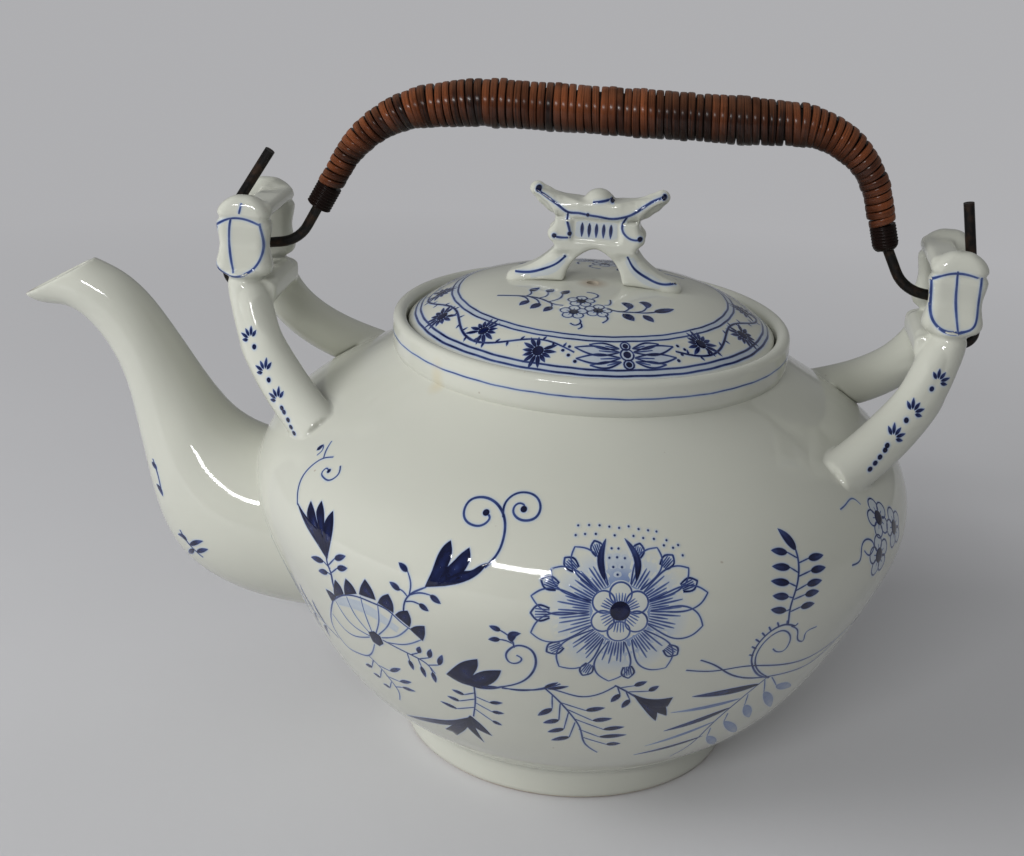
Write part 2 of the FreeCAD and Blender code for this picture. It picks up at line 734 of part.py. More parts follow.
def make_bail():
    edges = bail_route()
    left, right = grip_span(edges)
    first, last = left + BINDING_LENGTH, right - BINDING_LENGTH
    nodes = {"bail_wire": make_tube(edges, WIRE_RADIUS)}
    nodes["grip_core"] = make_grip_core(edges, first, last)
    nodes["end_binding_left"] = make_binding(edges, left, 1, False)
    nodes["end_binding_right"] = make_binding(edges, right, -1, True)
    strands = len(CANE_STRANDS)
    margin = CANE_DIAMETER
    turns = strands * CANE_TURNS + (strands - 1) * CANE_SPACER_TURNS
    pitch = (last - first - 2 * margin) / turns
    print("cane pitch %.2f mm over %.1f mm of grip" % (pitch, last - first))
    for index, name in enumerate(CANE_STRANDS):
        start = first + margin + index * (CANE_TURNS + CANE_SPACER_TURNS) * pitch
        nodes["cane_winding_" + name] = make_cane(edges, (first, last), start, pitch, name)
    return nodes


def main():
    pot = pot_solid()
    nodes = {"pot_shell": make_pot_shell(), "spout": make_spout(pot)}
    for side, side_name in ((-1, "left"), (1, "right")):
        saddle = make_saddle(side)
        nodes["saddle_" + side_name] = saddle
        for face, face_name in ((-1, "front"), (1, "back")):
            name = "strut_%s_%s" % (side_name, face_name)
            nodes[name] = make_strut(side, face, pot, saddle)
    nodes["lid"] = make_lid()
    nodes["lid_finial"] = make_finial()
    nodes.update(make_bail())
    os.makedirs("parts", exist_ok=True)
    for name, shape in nodes.items():
        facts = (name, len(shape.Solids), shape.isValid(), shape.Volume)
        print("%-20s solids %d valid %s volume %.0f" % facts)
        shape.exportStep("parts/%s.step" % name)


main()
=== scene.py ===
"""A porcelain teapot with blue brushed flowers, an iron bail and a cane-wrapped grip."""
import math

import bmesh
import bpy
import numpy as np
from mathutils import Matrix, Vector
from mathutils.bvhtree import BVHTree


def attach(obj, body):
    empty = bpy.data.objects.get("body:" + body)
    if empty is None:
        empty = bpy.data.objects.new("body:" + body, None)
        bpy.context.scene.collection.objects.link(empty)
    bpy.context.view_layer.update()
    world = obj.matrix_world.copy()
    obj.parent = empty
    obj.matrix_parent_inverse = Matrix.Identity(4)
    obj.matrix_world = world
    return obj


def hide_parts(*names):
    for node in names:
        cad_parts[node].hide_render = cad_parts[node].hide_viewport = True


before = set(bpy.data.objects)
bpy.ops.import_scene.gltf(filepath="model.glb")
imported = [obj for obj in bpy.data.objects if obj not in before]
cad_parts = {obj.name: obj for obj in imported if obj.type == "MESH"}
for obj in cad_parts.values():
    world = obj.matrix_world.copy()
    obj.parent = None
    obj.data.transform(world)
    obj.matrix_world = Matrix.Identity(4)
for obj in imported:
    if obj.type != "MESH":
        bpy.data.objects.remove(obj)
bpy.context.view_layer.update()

# Lengths are in millimetres, brought to the frame's metres by MM
MM = 0.001
chance = np.random.default_rng(41)


# Curves

def spline(points, count):
    """A smooth curve through the points, as evenly stepped samples."""
    points = np.asarray(points, float)
    steps = np.linalg.norm(np.diff(points, axis=0), axis=1)
    knots = np.concatenate([[0.0], np.cumsum(np.maximum(steps, 1e-6))])
    at = np.linspace(0.0, knots[-1], count)
    if len(points) == 2:
        share = (at / knots[-1])[:, None]
        return points[0] * (1 - share) + points[1] * share
    gaps = np.diff(knots)
    size = len(points)
    system = np.eye(size)
    pull = np.zeros_like(points)
    for row in range(1, size - 1):
        system[row, row - 1] = gaps[row - 1]
        system[row, row] = 2 * (gaps[row - 1] + gaps[row])
        system[row, row + 1] = gaps[row]
        after = (points[row + 1] - points[row]) / gaps[row]
        before = (points[row] - points[row - 1]) / gaps[row - 1]
        pull[row] = 6 * (after - before)
    bend = np.linalg.solve(system, pull)
    place = np.clip(np.searchsorted(knots, at, side="right") - 1, 0, size - 2)
    gap = gaps[place][:, None]
    left = (knots[place + 1] - at)[:, None]
    right = (at - knots[place])[:, None]
    curve = (bend[place] * left**3 + bend[place + 1] * right**3) / (6 * gap)
    curve += (points[place] / gap - bend[place] * gap / 6) * left
    return curve + (points[place + 1] / gap - bend[place + 1] * gap / 6) * right


def run_length(points):
    return float(np.linalg.norm(np.diff(np.asarray(points, float), axis=0), axis=1).sum())


def distances(path):
    """The way run along a path at each of its points."""
    return np.concatenate([[0.0], np.cumsum(np.linalg.norm(np.diff(path, axis=0), axis=1))])


def headings(path):
    slope = np.gradient(np.asarray(path, float), axis=0)
    return slope / np.maximum(np.linalg.norm(slope, axis=1), 1e-9)[:, None]


# Finishes

class Value:
    """A shader socket that can be used in sums and products."""

    def __init__(self, finish, socket):
        self.finish = finish
        self.socket = socket

    def sum_of(self, operation, first, second):
        return self.finish.node("ShaderNodeMath", {"operation": operation}, {0: first, 1: second})

    def __add__(self, other):
        return self.sum_of("ADD", self, other)

    def __mul__(self, other):
        return self.sum_of("MULTIPLY", self, other)

    __radd__ = __add__
    __rmul__ = __mul__


class Finish:
    """The nodes of a material or of the room's light, added by name."""

    def __init__(self, owner, shader, **plain):
        self.owner = owner
        owner.use_nodes = True
        self.tree = owner.node_tree
        self.shader = self.tree.nodes[shader]
        for socket, value in plain.items():
            self.put(socket.replace("_", " "), value)

    def feed(self, socket, value):
        if isinstance(value, Value):
            self.tree.links.new(value.socket, socket)
        else:
            socket.default_value = value

    def put(self, socket, value):
        self.feed(self.shader.inputs[socket], value)

    def node(self, kind, settings, sockets, out=0):
        node = self.tree.nodes.new(kind)
        for name, value in settings.items():
            if name == "stops":
                ramp = node.color_ramp.elements
                while len(ramp) < len(value):
                    ramp.new(0.5)
                for stop, (place, colour) in zip(ramp, value):
                    stop.position = place
                    stop.color = (*colour, 1.0)
            else:
                setattr(node, name, value)
        for name, value in sockets.items():
            self.feed(node.inputs[name], value)
        return Value(self, node.outputs[out])

    def where(self):
        return self.node("ShaderNodeTexCoord", {}, {}, "Object")

    def noise(self, place, scale, detail=2.0, roughness=0.5):
        sockets = {"Vector": place, "Scale": scale, "Detail": detail, "Roughness": roughness}
        return self.node("ShaderNodeTexNoise", {}, sockets)

    def painted(self, name):
        return self.node("ShaderNodeAttribute", {"attribute_name": name}, {}, "Fac")

    def between(self, value, low, high, first=0.0, last=1.0):
        sockets = {"Value": value, "From Min": low, "From Max": high, "To Min": first, "To Max": last}
        return self.node("ShaderNodeMapRange", {"clamp": True}, sockets)

    def mixed(self, share, first, second, how="MIX"):
        settings = {"data_type": "RGBA", "blend_type": how}
        return self.node("ShaderNodeMix", settings, {0: share, 6: first, 7: second}, 2)

    def stretched(self, place, scale):
        return self.node("ShaderNodeVectorMath", {"operation": "MULTIPLY"}, {0: place, 1: scale})

    def distance(self, place, point):
        return self.node("ShaderNodeVectorMath", {"operation": "DISTANCE"}, {0: place, 1: point}, "Value")

    def bump(self, height, strength, depth):
        sockets = {"Strength": strength, "Distance": depth, "Height": height}
        return self.node("ShaderNodeBump", {}, sockets)


def material(name, **plain):
    return Finish(bpy.data.materials.new(name), "Principled BSDF", **plain)


GREY_CLOUD = (0.945, 0.948, 0.962, 1.0)
BROWN_SPECK = (0.30, 0.24, 0.18, 1.0)
BARE_CLAY = (0.50, 0.43, 0.34, 1.0)
# Stains at the steam hole, on the collar and under the lip: stretch, middle, where fading begins
# and ends, strength and colour, with lengths in metres
STAINS = [
    ((1.0, 1.0, 1.0), (0.0, -0.0040, 0.1327), 0.0014, 0.0048, 0.62, (0.30, 0.20, 0.12, 1.0)),
    ((1.0, 1.0, 0.42), (-0.0352, -0.0404, 0.0482), 0.0006, 0.0030, 0.34, (0.55, 0.45, 0.24, 1.0)),
    ((1.0, 1.0, 1.0), (-0.1600, 0.0, 0.1152), 0.0012, 0.0034, 0.50, (0.36, 0.27, 0.18, 1.0)),
]
PORCELAIN = (0.570, 0.577, 0.507)
# Glaze colours by the load of cobalt under it
COBALT_STOPS = [
    (0.0, PORCELAIN),
    (0.15, (0.455, 0.505, 0.555)),
    (0.34, (0.195, 0.262, 0.43)),
    (0.60, (0.040, 0.066, 0.205)),
    (0.82, (0.0075, 0.0135, 0.066)),
    (1.0, (0.0018, 0.0034, 0.024)),
]


def porcelain_glaze():
    """Glossy grey-white glaze over brushed cobalt, with faint stains and bare clay under the foot."""
    glaze = material("porcelain_glaze", IOR=1.52)
    place = glaze.where()
    load = glaze.painted("cobalt")
    brushed = load * (0.74 + 0.54 * glaze.noise(place, 360.0, 3.0))
    colour = glaze.node("ShaderNodeValToRGB", {"stops": COBALT_STOPS}, {"Fac": brushed})
    clouds = glaze.between(glaze.noise(place, 26.0, 3.0), 0.35, 0.68)
    colour = glaze.mixed(clouds * 0.55, colour, GREY_CLOUD, "MULTIPLY")
    specks = glaze.between(glaze.noise(place, 620.0, 0.0), 0.89, 0.92)
    colour = glaze.mixed(specks * 0.5, colour, BROWN_SPECK)
    for stretch, middle, begin, end, strength, stain in STAINS:
        away = glaze.distance(glaze.stretched(place, stretch), middle)
        colour = glaze.mixed(glaze.between(away, begin, end, strength, 0.0), colour, stain)
    height = glaze.node("ShaderNodeSeparateXYZ", {}, {0: place}, "Z")
    clay = glaze.between(height + 0.0006 * glaze.noise(place, 240.0), 0.0008, 0.0014, 1.0, 0.0)
    colour = glaze.mixed(clay, colour, BARE_CLAY)
    glaze.put("Base Color", colour)
    wear = glaze.between(glaze.noise(place, 70.0, 4.0), 0.3, 0.75, 0.04, 0.09)
    glaze.put("Roughness", wear + 0.55 * clay)
    waves = glaze.noise(place, 48.0, 2.0) + 0.05 * glaze.noise(place, 520.0, 2.0)
    glaze.put("Normal", glaze.bump(waves, 0.30, 0.0006))
    return glaze


IRON_BLACK = (0.016, 0.015, 0.015, 1.0)
RUST_BROWN = (0.060, 0.036, 0.024, 1.0)


def forged_iron():
    """Blackened wire with thin brown rust."""
    iron = material("blackened_iron", Metallic=0.75)
    place = iron.where()
    rust = iron.between(iron.noise(place, 310.0, 4.0, 0.6), 0.48, 0.72)
    iron.put("Base Color", iron.mixed(rust, IRON_BLACK, RUST_BROWN))
    iron.put("Roughness", 0.40 + 0.28 * rust)
    iron.put("Normal", iron.bump(iron.noise(place, 900.0, 3.0), 0.5, 0.0002))
    return iron


def dark_core():
    """Stained wood under the wrapping, seen only between turns."""
    wood = material("stained_wood", Roughness=0.7)
    grain = wood.noise(wood.stretched(wood.where(), (60.0, 900.0, 900.0)), 1.0, 3.0)
    wood.put("Base Color", wood.mixed(grain, (0.010, 0.005, 0.003, 1.0), (0.030, 0.015, 0.009, 1.0)))
    wood.put("Normal", wood.bump(grain, 0.4, 0.0002))
    return wood


CANE_PALE = (0.185, 0.050, 0.015, 1.0)
CANE_DEEP = (0.013, 0.0038, 0.0016, 1.0)
# Painted highlight along the top of the grip
CANE_TOP_HIGHLIGHT = (0.270, 0.112, 0.055, 1.0)
# Painted shade under the grip
CANE_UNDER_SHADE = (0.0065, 0.0018, 0.0010, 1.0)
CANE_BLOTCH = (0.012, 0.004, 0.0025, 1.0)
# Painted shade in the gaps between the cane's turns
CANE_GAP_SHADE = (0.004, 0.0014, 0.0010, 1.0)
THREAD_PALE = (0.010, 0.005, 0.0034, 1.0)
THREAD_DEEP = (0.003, 0.0016, 0.0012, 1.0)


def lacquered_cane(name, pale, deep, shine):
    """Split cane with fibres along the strip, a painted highlight along its top, and painted shade
    underneath and in the gaps between turns.
    """
    cane = material(name, Coat_Roughness=0.22, Specular_IOR_Level=0.08)
    across = cane.painted("across")
    along = cane.painted("along")
    tone = cane.painted("tone")
    lie = cane.node("ShaderNodeCombineXYZ", {}, {0: along * 40.0, 1: across * 2600.0, 2: tone * 9.0})
    fibre = cane.noise(lie, 1.0, 3.0, 0.6)
    blotch = cane.noise(cane.where(), 130.0, 3.0)
    # Share towards the top of the grip, with blotches mixed in: painted highlight on top, painted shade
    # underneath
    top_light_and_blotch = cane.painted("upper") + 0.5 * blotch
    colour = cane.mixed(cane.between(fibre * 1.3 + tone * 0.8, 0.62, 1.40), deep, pale)
    colour = cane.mixed(cane.between(top_light_and_blotch, 0.95, 1.25) * 0.35, colour, CANE_TOP_HIGHLIGHT)
    colour = cane.mixed(cane.between(top_light_and_blotch, 0.30, 0.95, 0.80, 0.0), colour, CANE_UNDER_SHADE)
    colour = cane.mixed(cane.between(blotch, 0.50, 0.74) * 0.65, colour, CANE_BLOTCH)
    # Painted shade at the strip's edges, down in the gaps between turns
    edge = cane.between(cane.painted("edge"), 0.25, 0.90)
    colour = cane.mixed(edge * 0.88, colour, CANE_GAP_SHADE)
    cane.put("Base Color", colour)
    cane.put("Roughness", cane.between(fibre + 0.4 * blotch, 0.3, 1.0, 0.34, 0.60))
    cane.put("Coat Weight", cane.between(blotch, 0.35, 0.70, shine, 0.12))
    cane.put("Normal", cane.bump(fibre, 1.0, 0.0005))
    return cane


# Making pieces

def plain_mesh(name, points, faces):
    mesh = bpy.data.meshes.new(name)
    mesh.from_pydata([tuple(point) for point in points], [], [tuple(face) for face in faces])
    return mesh


def worked_mesh(name, work):
    """The worked geometry as a mesh, with the work cleared away."""
    mesh = bpy.data.meshes.new(name)
    work.to_mesh(mesh)
    work.free()
    return mesh


def coat(mesh, finish):
    """One finish over the whole mesh."""
    mesh.materials.clear()
    mesh.materials.append(finish.owner)


def dress(name, mesh, finish, body):
    """A smooth-shaded piece that shows the mesh and rides on a body."""
    mesh.name = name
    coat(mesh, finish)
    mesh.polygons.foreach_set("use_smooth", [True] * len(mesh.polygons))
    mesh.update()
    piece = bpy.data.objects.new(name, mesh)
    bpy.context.scene.collection.objects.link(piece)
    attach(piece, body)
    return piece


def closed_mesh(name, points, faces):
    """A mesh with doubled points joined and its faces turned outward."""
    work = bmesh.new()
    work.from_mesh(plain_mesh("loose", points, faces))
    bmesh.ops.remove_doubles(work, verts=work.verts, dist=1e-7)
    bmesh.ops.recalc_face_normals(work, faces=work.faces)
    return worked_mesh(name, work)


def turned(profile, count):
    """Points and faces of a profile (radius, height) turned about the pot's axis."""
    profile = np.asarray(profile, float)
    angles = np.linspace(0.0, 2 * math.pi, count, endpoint=False)
    points, rows = [], []
    for radius, height in profile:
        if radius < 1e-6:
            rows.append([len(points)] * count)
            points.append((0.0, 0.0, height))
        else:
            rows.append(list(range(len(points), len(points) + count)))
            for angle in angles:
                points.append((radius * math.cos(angle), radius * math.sin(angle), height))
    faces = []
    for low, high in zip(rows, rows[1:]):
        for step in range(count):
            after = (step + 1) % count
            loop = [low[step], low[after], high[after], high[step]]
            loop = [corner for index, corner in enumerate(loop) if corner != loop[index - 1]]
            if len(loop) > 2:
                faces.append(loop)
    return np.array(points) * MM, faces


def tube_faces(rows, count, closed):
    """Faces of rows of points round a tube, joined from the last row to the first or left open."""
    faces = []
    for row in range(rows if closed else rows - 1):
        low, high = row * count, (row + 1) % rows * count
        for step in range(count):
            after = (step + 1) % count
            faces.append((low + step, low + after, high + after, high + step))
    return faces


def scratch(mesh):
    """A piece that is worked on and not kept."""
    piece = bpy.data.objects.new("scratch", mesh)
    bpy.context.scene.collection.objects.link(piece)
    return piece


def rising(value, start, length):
    """A share that grows from 0 at the start to 1 a length further on."""
    return np.clip((value - start) / length, 0.0, 1.0)


def worked(piece):
    """The piece's mesh with its modifiers taken in, and the piece cleared away."""
    graph = bpy.context.evaluated_depsgraph_get()
    mesh = bpy.data.meshes.new_from_object(piece.evaluated_get(graph))
    bpy.data.objects.remove(piece)
    return mesh


def pierced(mesh, drills):
    """The mesh with round holes, each given by start, direction, radius and length."""
    work = bmesh.new()
    for start, along, radius, length in drills:
        turn = Vector(along).to_track_quat("Z", "Y").to_matrix().to_4x4()
        middle = Vector(start) + Vector(along) * (length / 2)
        bmesh.ops.create_cone(
            work, cap_ends=True, segments=28, radius1=radius, radius2=radius, depth=length,
            matrix=Matrix.Translation(middle) @ turn,
        )
    tool = scratch(worked_mesh("bore", work))
    piece = scratch(mesh)
    cut = piece.modifiers.new("holes", "BOOLEAN")
    cut.object = tool
    cut.solver = "EXACT"
    result = worked(piece)
    bpy.data.objects.remove(tool)
    return result


def softened(nodes, extras, voxel, passes):
    """The nodes' solids run together under one even coat of glaze."""
    work = bmesh.new()
    for mesh in [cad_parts[name].data for name in nodes] + extras:
        work.from_mesh(mesh)
    piece = scratch(worked_mesh("joined", work))
    skin = piece.modifiers.new("skin", "REMESH")
    skin.mode = "VOXEL"
    skin.voxel_size = voxel * MM
    evened = piece.modifiers.new("evened", "SMOOTH")
    evened.factor = 0.5
    evened.iterations = passes
    return worked(piece)


# Porcelain: pot, lid, spout, lugs and finial

BODY_LINE = [
    (48.1, 9.0), (63.603, 22.11), (77.011, 42.12), (86.229, 62.13), (90.0, 78.0),
    (85.56, 90.036), (77.05, 98.001), (61.14, 108.09), (53.0, 113.4),
]
CROWN_LINE = [
    (49.4, 120.6), (47.52, 122.09), (37.89, 127.79), (25.0, 131.39), (12.0, 132.6), (0.0, 133.0),
]
POT_WALL = 4.0
BELLY_HEIGHT = 78.0
BELLY_RADIUS = 90.0
COLLAR_RADIUS = 53.6
RIM_LEVEL = 121.0
RIM_ROUND = 1.8
SEAT_LEVEL = 117.0
FLOOR_LEVEL = 8.5
TURNED_SIDES = 240
SHARP_EDGE = math.radians(50)
STRAINER_HOLE = 2.5
STRAINER_PITCH = 8.4
STRAINER_LEVEL = 54.0
STEAM_HOLE = 1.6
STEAM_START = (0.0, -3.6, 118.0)
# Pads where spout and struts meet the belly: level, half across, half up and share left open inside
SPOUT_PAD = (54.5, 31.0, 32.0, 0.66)
STRUT_PAD = (97.0, 13.0, 14.0, 0.05)
PAD_TOP = 0.12
PAD_BOTTOM = 2.6

body_curve = spline(BODY_LINE, 400)
crown_curve = spline(CROWN_LINE, 240)
body_run = distances(body_curve)
belly_run = float(np.interp(BELLY_HEIGHT, body_curve[:, 1], body_run))


def pot_profile():
    """The pot's section from the middle of the foot recess round to the middle of the floor."""
    foot = [
        (0.0, 4.5), (20.0, 4.5), (40.6, 4.5), (41.6, 4.1), (42.0, 3.2), (42.2, 0.9), (42.9, 0.15),
        (43.6, 0.0), (45.6, 0.0), (46.5, 0.15), (47.15, 0.8), (47.35, 2.0), (47.75, 5.4), (47.95, 7.6),
        (48.2, 8.7),
    ]
    outer = body_curve[3::4]
    collar = [(53.05, 113.55), (53.4, 114.2), (53.58, 115.2)]
    collar += [(COLLAR_RADIUS, 117.0), (COLLAR_RADIUS, RIM_LEVEL)]
    rim_middle = COLLAR_RADIUS - RIM_ROUND
    for degrees in range(10, 180, 10):
        turn = math.radians(degrees)
        collar.append((rim_middle + RIM_ROUND * math.cos(turn), RIM_LEVEL + RIM_ROUND * math.sin(turn)))
    collar += [
        (50.0, RIM_LEVEL), (50.0, 118.0), (49.8, 117.3), (49.2, SEAT_LEVEL), (45.0, SEAT_LEVEL),
        (44.3, 116.7), (44.0, 116.0),
    ]
    slope = headings(body_curve)
    inner = body_curve + POT_WALL * np.stack([-slope[:, 1], slope[:, 0]], axis=1)
    inner = inner[(inner[:, 0] > 46.0) & (inner[:, 1] > 10.5)]
    inner = inner[inner[:, 1] < 108.0][::-6]
    floor = [(44.0, 110.5), (44.6, 109.3)] + inner.tolist()
    floor += [(43.0, 9.0), (38.0, FLOOR_LEVEL), (18.0, FLOOR_LEVEL), (0.0, FLOOR_LEVEL)]
    return foot + outer.tolist() + collar + floor


def lid_profile():
    """The lid's section from the middle of its underside round to the middle of its top."""
    crown = crown_curve[::2].tolist()
    edge = [(0.0, 129.0)]
    dome = (crown_curve - np.array([0.0, POT_WALL]))[::-6]
    edge += dome[(dome[:, 0] > 2.0) & (dome[:, 0] < 39.2)].tolist()
    edge += [
        (39.8, 122.0), (40.0, 121.0), (40.0, 108.8), (40.3, 108.2), (41.0, 108.0), (42.4, 108.0),
        (43.0, 108.3), (43.2, 109.0), (43.2, 116.3), (43.6, SEAT_LEVEL), (48.6, SEAT_LEVEL),
        (49.2, 117.3), (49.4, 118.0),
    ]
    return edge + [(49.45, 119.6)] + crown


def wall_patch(angle, height, half_across, half_up, inner):
    """A pad just under the pot's skin, from an inner to an outer oval, for the glaze to run over."""
    spokes, rings = 48, 9
    points, faces = [], []
    for depth in (PAD_TOP, PAD_BOTTOM):
        for ring in range(rings):
            share = inner + (1.0 - inner) * ring / (rings - 1)
            for spoke in range(spokes):
                turn = 2 * math.pi * spoke / spokes
                level = height + half_up * share * math.sin(turn)
                radius = np.interp(level, body_curve[:, 1], body_curve[:, 0])
                way = angle + half_across * share * math.cos(turn) / radius
                radius -= depth + (0.5 * (ring / (rings - 1)) ** 4 if depth == PAD_TOP else 0.0)
                points.append((radius * math.sin(way), -radius * math.cos(way), level))
    side = rings * spokes
    for ring in range(rings - 1):
        for spoke in range(spokes):
            a, b = ring * spokes + spoke, ring * spokes + (spoke + 1) % spokes
            faces.append((a, b, b + spokes, a + spokes))
            faces.append((side + a, side + a + spokes, side + b + spokes, side + b))
    last = (rings - 1) * spokes
    for spoke in range(spokes):
        after = (spoke + 1) % spokes
        faces.append((spoke, side + spoke, side + after, after))
        faces.append((last + spoke, last + after, side + last + after, side + last + spoke))
    return closed_mesh("pad", np.array(points) * MM, faces)


def make_pot(glaze):
    """The turned pot, with a honeycomb of strainer holes behind the spout."""
    points, faces = turned(pot_profile(), TURNED_SIDES)
    drills = []
    for row in range(-2, 3):
        level = STRAINER_LEVEL + row * STRAINER_PITCH * math.sqrt(3) / 2
        for step in range(5 - abs(row)):
            side = (step - (4 - abs(row)) / 2) * STRAINER_PITCH
            start = Vector((-98.0, side, level)) * MM
            drills.append((start, (1.0, 0.0, 0.0), STRAINER_HOLE * MM, 40 * MM))
    mesh = pierced(closed_mesh("pot", points, faces), drills)
    pot = dress("pot_body", mesh, glaze, "pot")
    mesh.set_sharp_from_angle(angle=SHARP_EDGE)
    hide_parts("pot_shell")


def make_lid(glaze):
    """The domed lid with its steam hole."""
    points, faces = turned(lid_profile(), TURNED_SIDES)
    steam = [(Vector(STEAM_START) * MM, (0.0, 0.0, 1.0), STEAM_HOLE * MM, 24 * MM)]
    mesh = pierced(closed_mesh("lid", points, faces), steam)
    lid = dress("lid_dome", mesh, glaze, "lid")
    mesh.set_sharp_from_angle(angle=SHARP_EDGE)
    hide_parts("lid")


def make_spout(glaze):
    """The spout, run into the belly."""
    pad = wall_patch(-math.pi / 2, *SPOUT_PAD)
    mesh = softened(["spout"], [pad], voxel=0.5, passes=7)
    spout = dress("spout_neck", mesh, glaze, "pot")
    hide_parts("spout")
    return spout


# Carving round a lug head: level, reach and share taken in, from its top crease to its foot
HEAD_CARVING = [(145.2, 0.9, 0.11), (138.0, 3.4, 0.065), (132.6, 1.6, -0.035), (129.2, 1.2, 0.15)]
HEAD_REACH = 93.0
HEAD_OFFSET = 11.6
STRUT_ANGLES = (61.0, 119.0)
NECK_SHARE = 0.17


def narrow_neck(places, strut):
    """Draw a strut in just under its head."""
    level = places[:, 2]
    axis = [np.polyval(np.polyfit(strut[:, 2], strut[:, way], 3), level) for way in (0, 1)]
    axis = np.stack(axis, axis=1)
    away = np.linalg.norm(places[:, :2] - axis, axis=1)
    near = rising(-away, -8.4, 1.4)
    rise = rising(level, 109.0, 12.0) * rising(-level, -130.4, 1.6)
    places[:, :2] = axis + (places[:, :2] - axis) * (1.0 - NECK_SHARE * near * rise)[:, None]


def make_lug(side_name, glaze):
    """Saddle and both struts of one side, run together."""
    side = -1 if side_name == "left" else 1
    pads = [wall_patch(side * math.radians(angle), *STRUT_PAD) for angle in STRUT_ANGLES]
    nodes = ["saddle_" + side_name, "strut_%s_front" % side_name, "strut_%s_back" % side_name]
    mesh = softened(nodes, pads, voxel=0.52, passes=10)
    places = vertex_places(mesh)
    for strut in nodes[1:]:
        narrow_neck(places, vertex_places(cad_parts[strut].data))
    hub = np.stack([np.full(len(places), side * HEAD_REACH), HEAD_OFFSET * np.sign(places[:, 1])], axis=1)
    head = rising(np.abs(places[:, 1]), 8.0, 2.0)
    carved = np.zeros(len(places))
    for level, reach, depth in HEAD_CARVING:
        carved += depth * np.exp(-((places[:, 2] - level) / reach) ** 2)
    places[:, :2] = hub + (places[:, :2] - hub) * (1.0 - head * carved)[:, None]
    mesh.vertices.foreach_set("co", (places * MM).ravel())
    lug = dress("lug_" + side_name, mesh, glaze, "pot")
    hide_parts(*nodes)
    return lug


def knob(place, radius):
    """A ball to swell a moulded piece."""
    work = bmesh.new()
    middle = Matrix.Translation(Vector(place) * MM)
    bmesh.ops.create_icosphere(work, subdivisions=3, radius=radius * MM, matrix=middle)
    return worked_mesh("knob", work)


def vertex_places(mesh):
    """The mesh's points in millimetres."""
    places = np.empty(3 * len(mesh.vertices))
    mesh.vertices.foreach_get("co", places)
    return places.reshape(-1, 3) / MM


def rounded_across(x, z, chosen):
    """Shares that round off a slab whose height at each reach is that of the chosen points."""
    columns, pitch = 60, 0.6
    column = np.clip((x / pitch).astype(int), 0, columns - 1)
    top, bottom = np.full(columns, -1e9), np.full(columns, 1e9)
    np.maximum.at(top, column[chosen], z[chosen])
    np.minimum.at(bottom, column[chosen], z[chosen])
    half = np.maximum((top - bottom)[column] / 2, 0.5)
    off = np.clip((z - (top + bottom)[column] / 2) / half, -1.0, 1.0)
    return np.where(chosen, np.sqrt(1.0 - 0.80 * off ** 2), 1.0)


# Round swellings of the finial to each side: reach, level and radius
HORN_SWELL = [(9.4, 152.3, 3.2), (11.8, 153.3, 3.1), (14.2, 154.8, 2.8), (16.5, 156.5, 2.3)]
TOE_SWELL = [(16.6, 133.6, 2.3), (19.2, 132.6, 2.4), (21.6, 131.7, 2.4)]
EAVE_SWELL = (11.0, 145.4, 2.3)
SLAB_HALF = 2.6
# Upper edge of a leg: reach from the middle, and level
LEG_REACH = (10.0, 12.0, 15.0, 18.0, 21.0, 24.0)
LEG_TOP = (142.6, 140.2, 137.2, 135.4, 134.4, 133.6)
LEG_FOOT = 129.5
PANEL_DEPTH = 0.7


def make_finial(glaze):
    """Splayed legs, a sunk panel and an upswept roof with a bead."""
    knobs = []
    for side in (-1, 1):
        for reach, level, radius in HORN_SWELL:
            knobs.append(knob((side * reach, 0.0, level), radius))
        for depth in (-SLAB_HALF, SLAB_HALF):
            reach, level, radius = EAVE_SWELL
            knobs.append(knob((side * reach, depth, level), radius))
            for reach, level, radius in TOE_SWELL:
                knobs.append(knob((side * reach, 0.6 * depth, level), radius))
    mesh = softened(["lid_finial"], knobs, voxel=0.36, passes=50)
    places = vertex_places(mesh)
    x, y, z = np.abs(places[:, 0]), places[:, 1], places[:, 2]
    # horns, thinned and rounded towards their tips
    y = y * (1.0 - 0.30 * rising(z, 148.0, 8.0) * rising(x, 5.0, 12.0))
    y = y * (1.0 - rising(x, 6.0, 4.0) * (1.0 - rounded_across(x, z, z > 149.6)))
    # panel, sunk into the front and the back
    panel = rising(-x, -7.4, 1.6) * rising(z, 143.4, 1.4) * rising(-z, -151.0, 1.4)
    panel = panel * rising(np.abs(y), 2.0, 1.0)
    y = y - np.sign(y) * PANEL_DEPTH * panel * panel * (3.0 - 2.0 * panel)
    # legs, rounded over the top and at the toes
    over = np.clip((z - LEG_FOOT) / (np.interp(x, LEG_REACH, LEG_TOP) - LEG_FOOT), 0.0, 1.0)
    leg = rising(-z, -141.5, 2.0) * rising(x, 4.0, 3.0)
    toe = rising(x, 19.4, 4.4) ** 2
    round_top = np.sqrt(1.0 - 0.62 * rising(over, 0.3, 0.7) ** 2)
    places[:, 1] = y * (1.0 - leg * (1.0 - round_top * np.sqrt(1.0 - 0.72 * toe)))
    places[:, 2] = z - 0.5 * toe * over * leg
    mesh.vertices.foreach_set("co", (places * MM).ravel())
    finial = dress("finial", mesh, glaze, "lid")
    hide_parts("lid_finial")
    return finial


# Grip: cane wrapping and end bindings

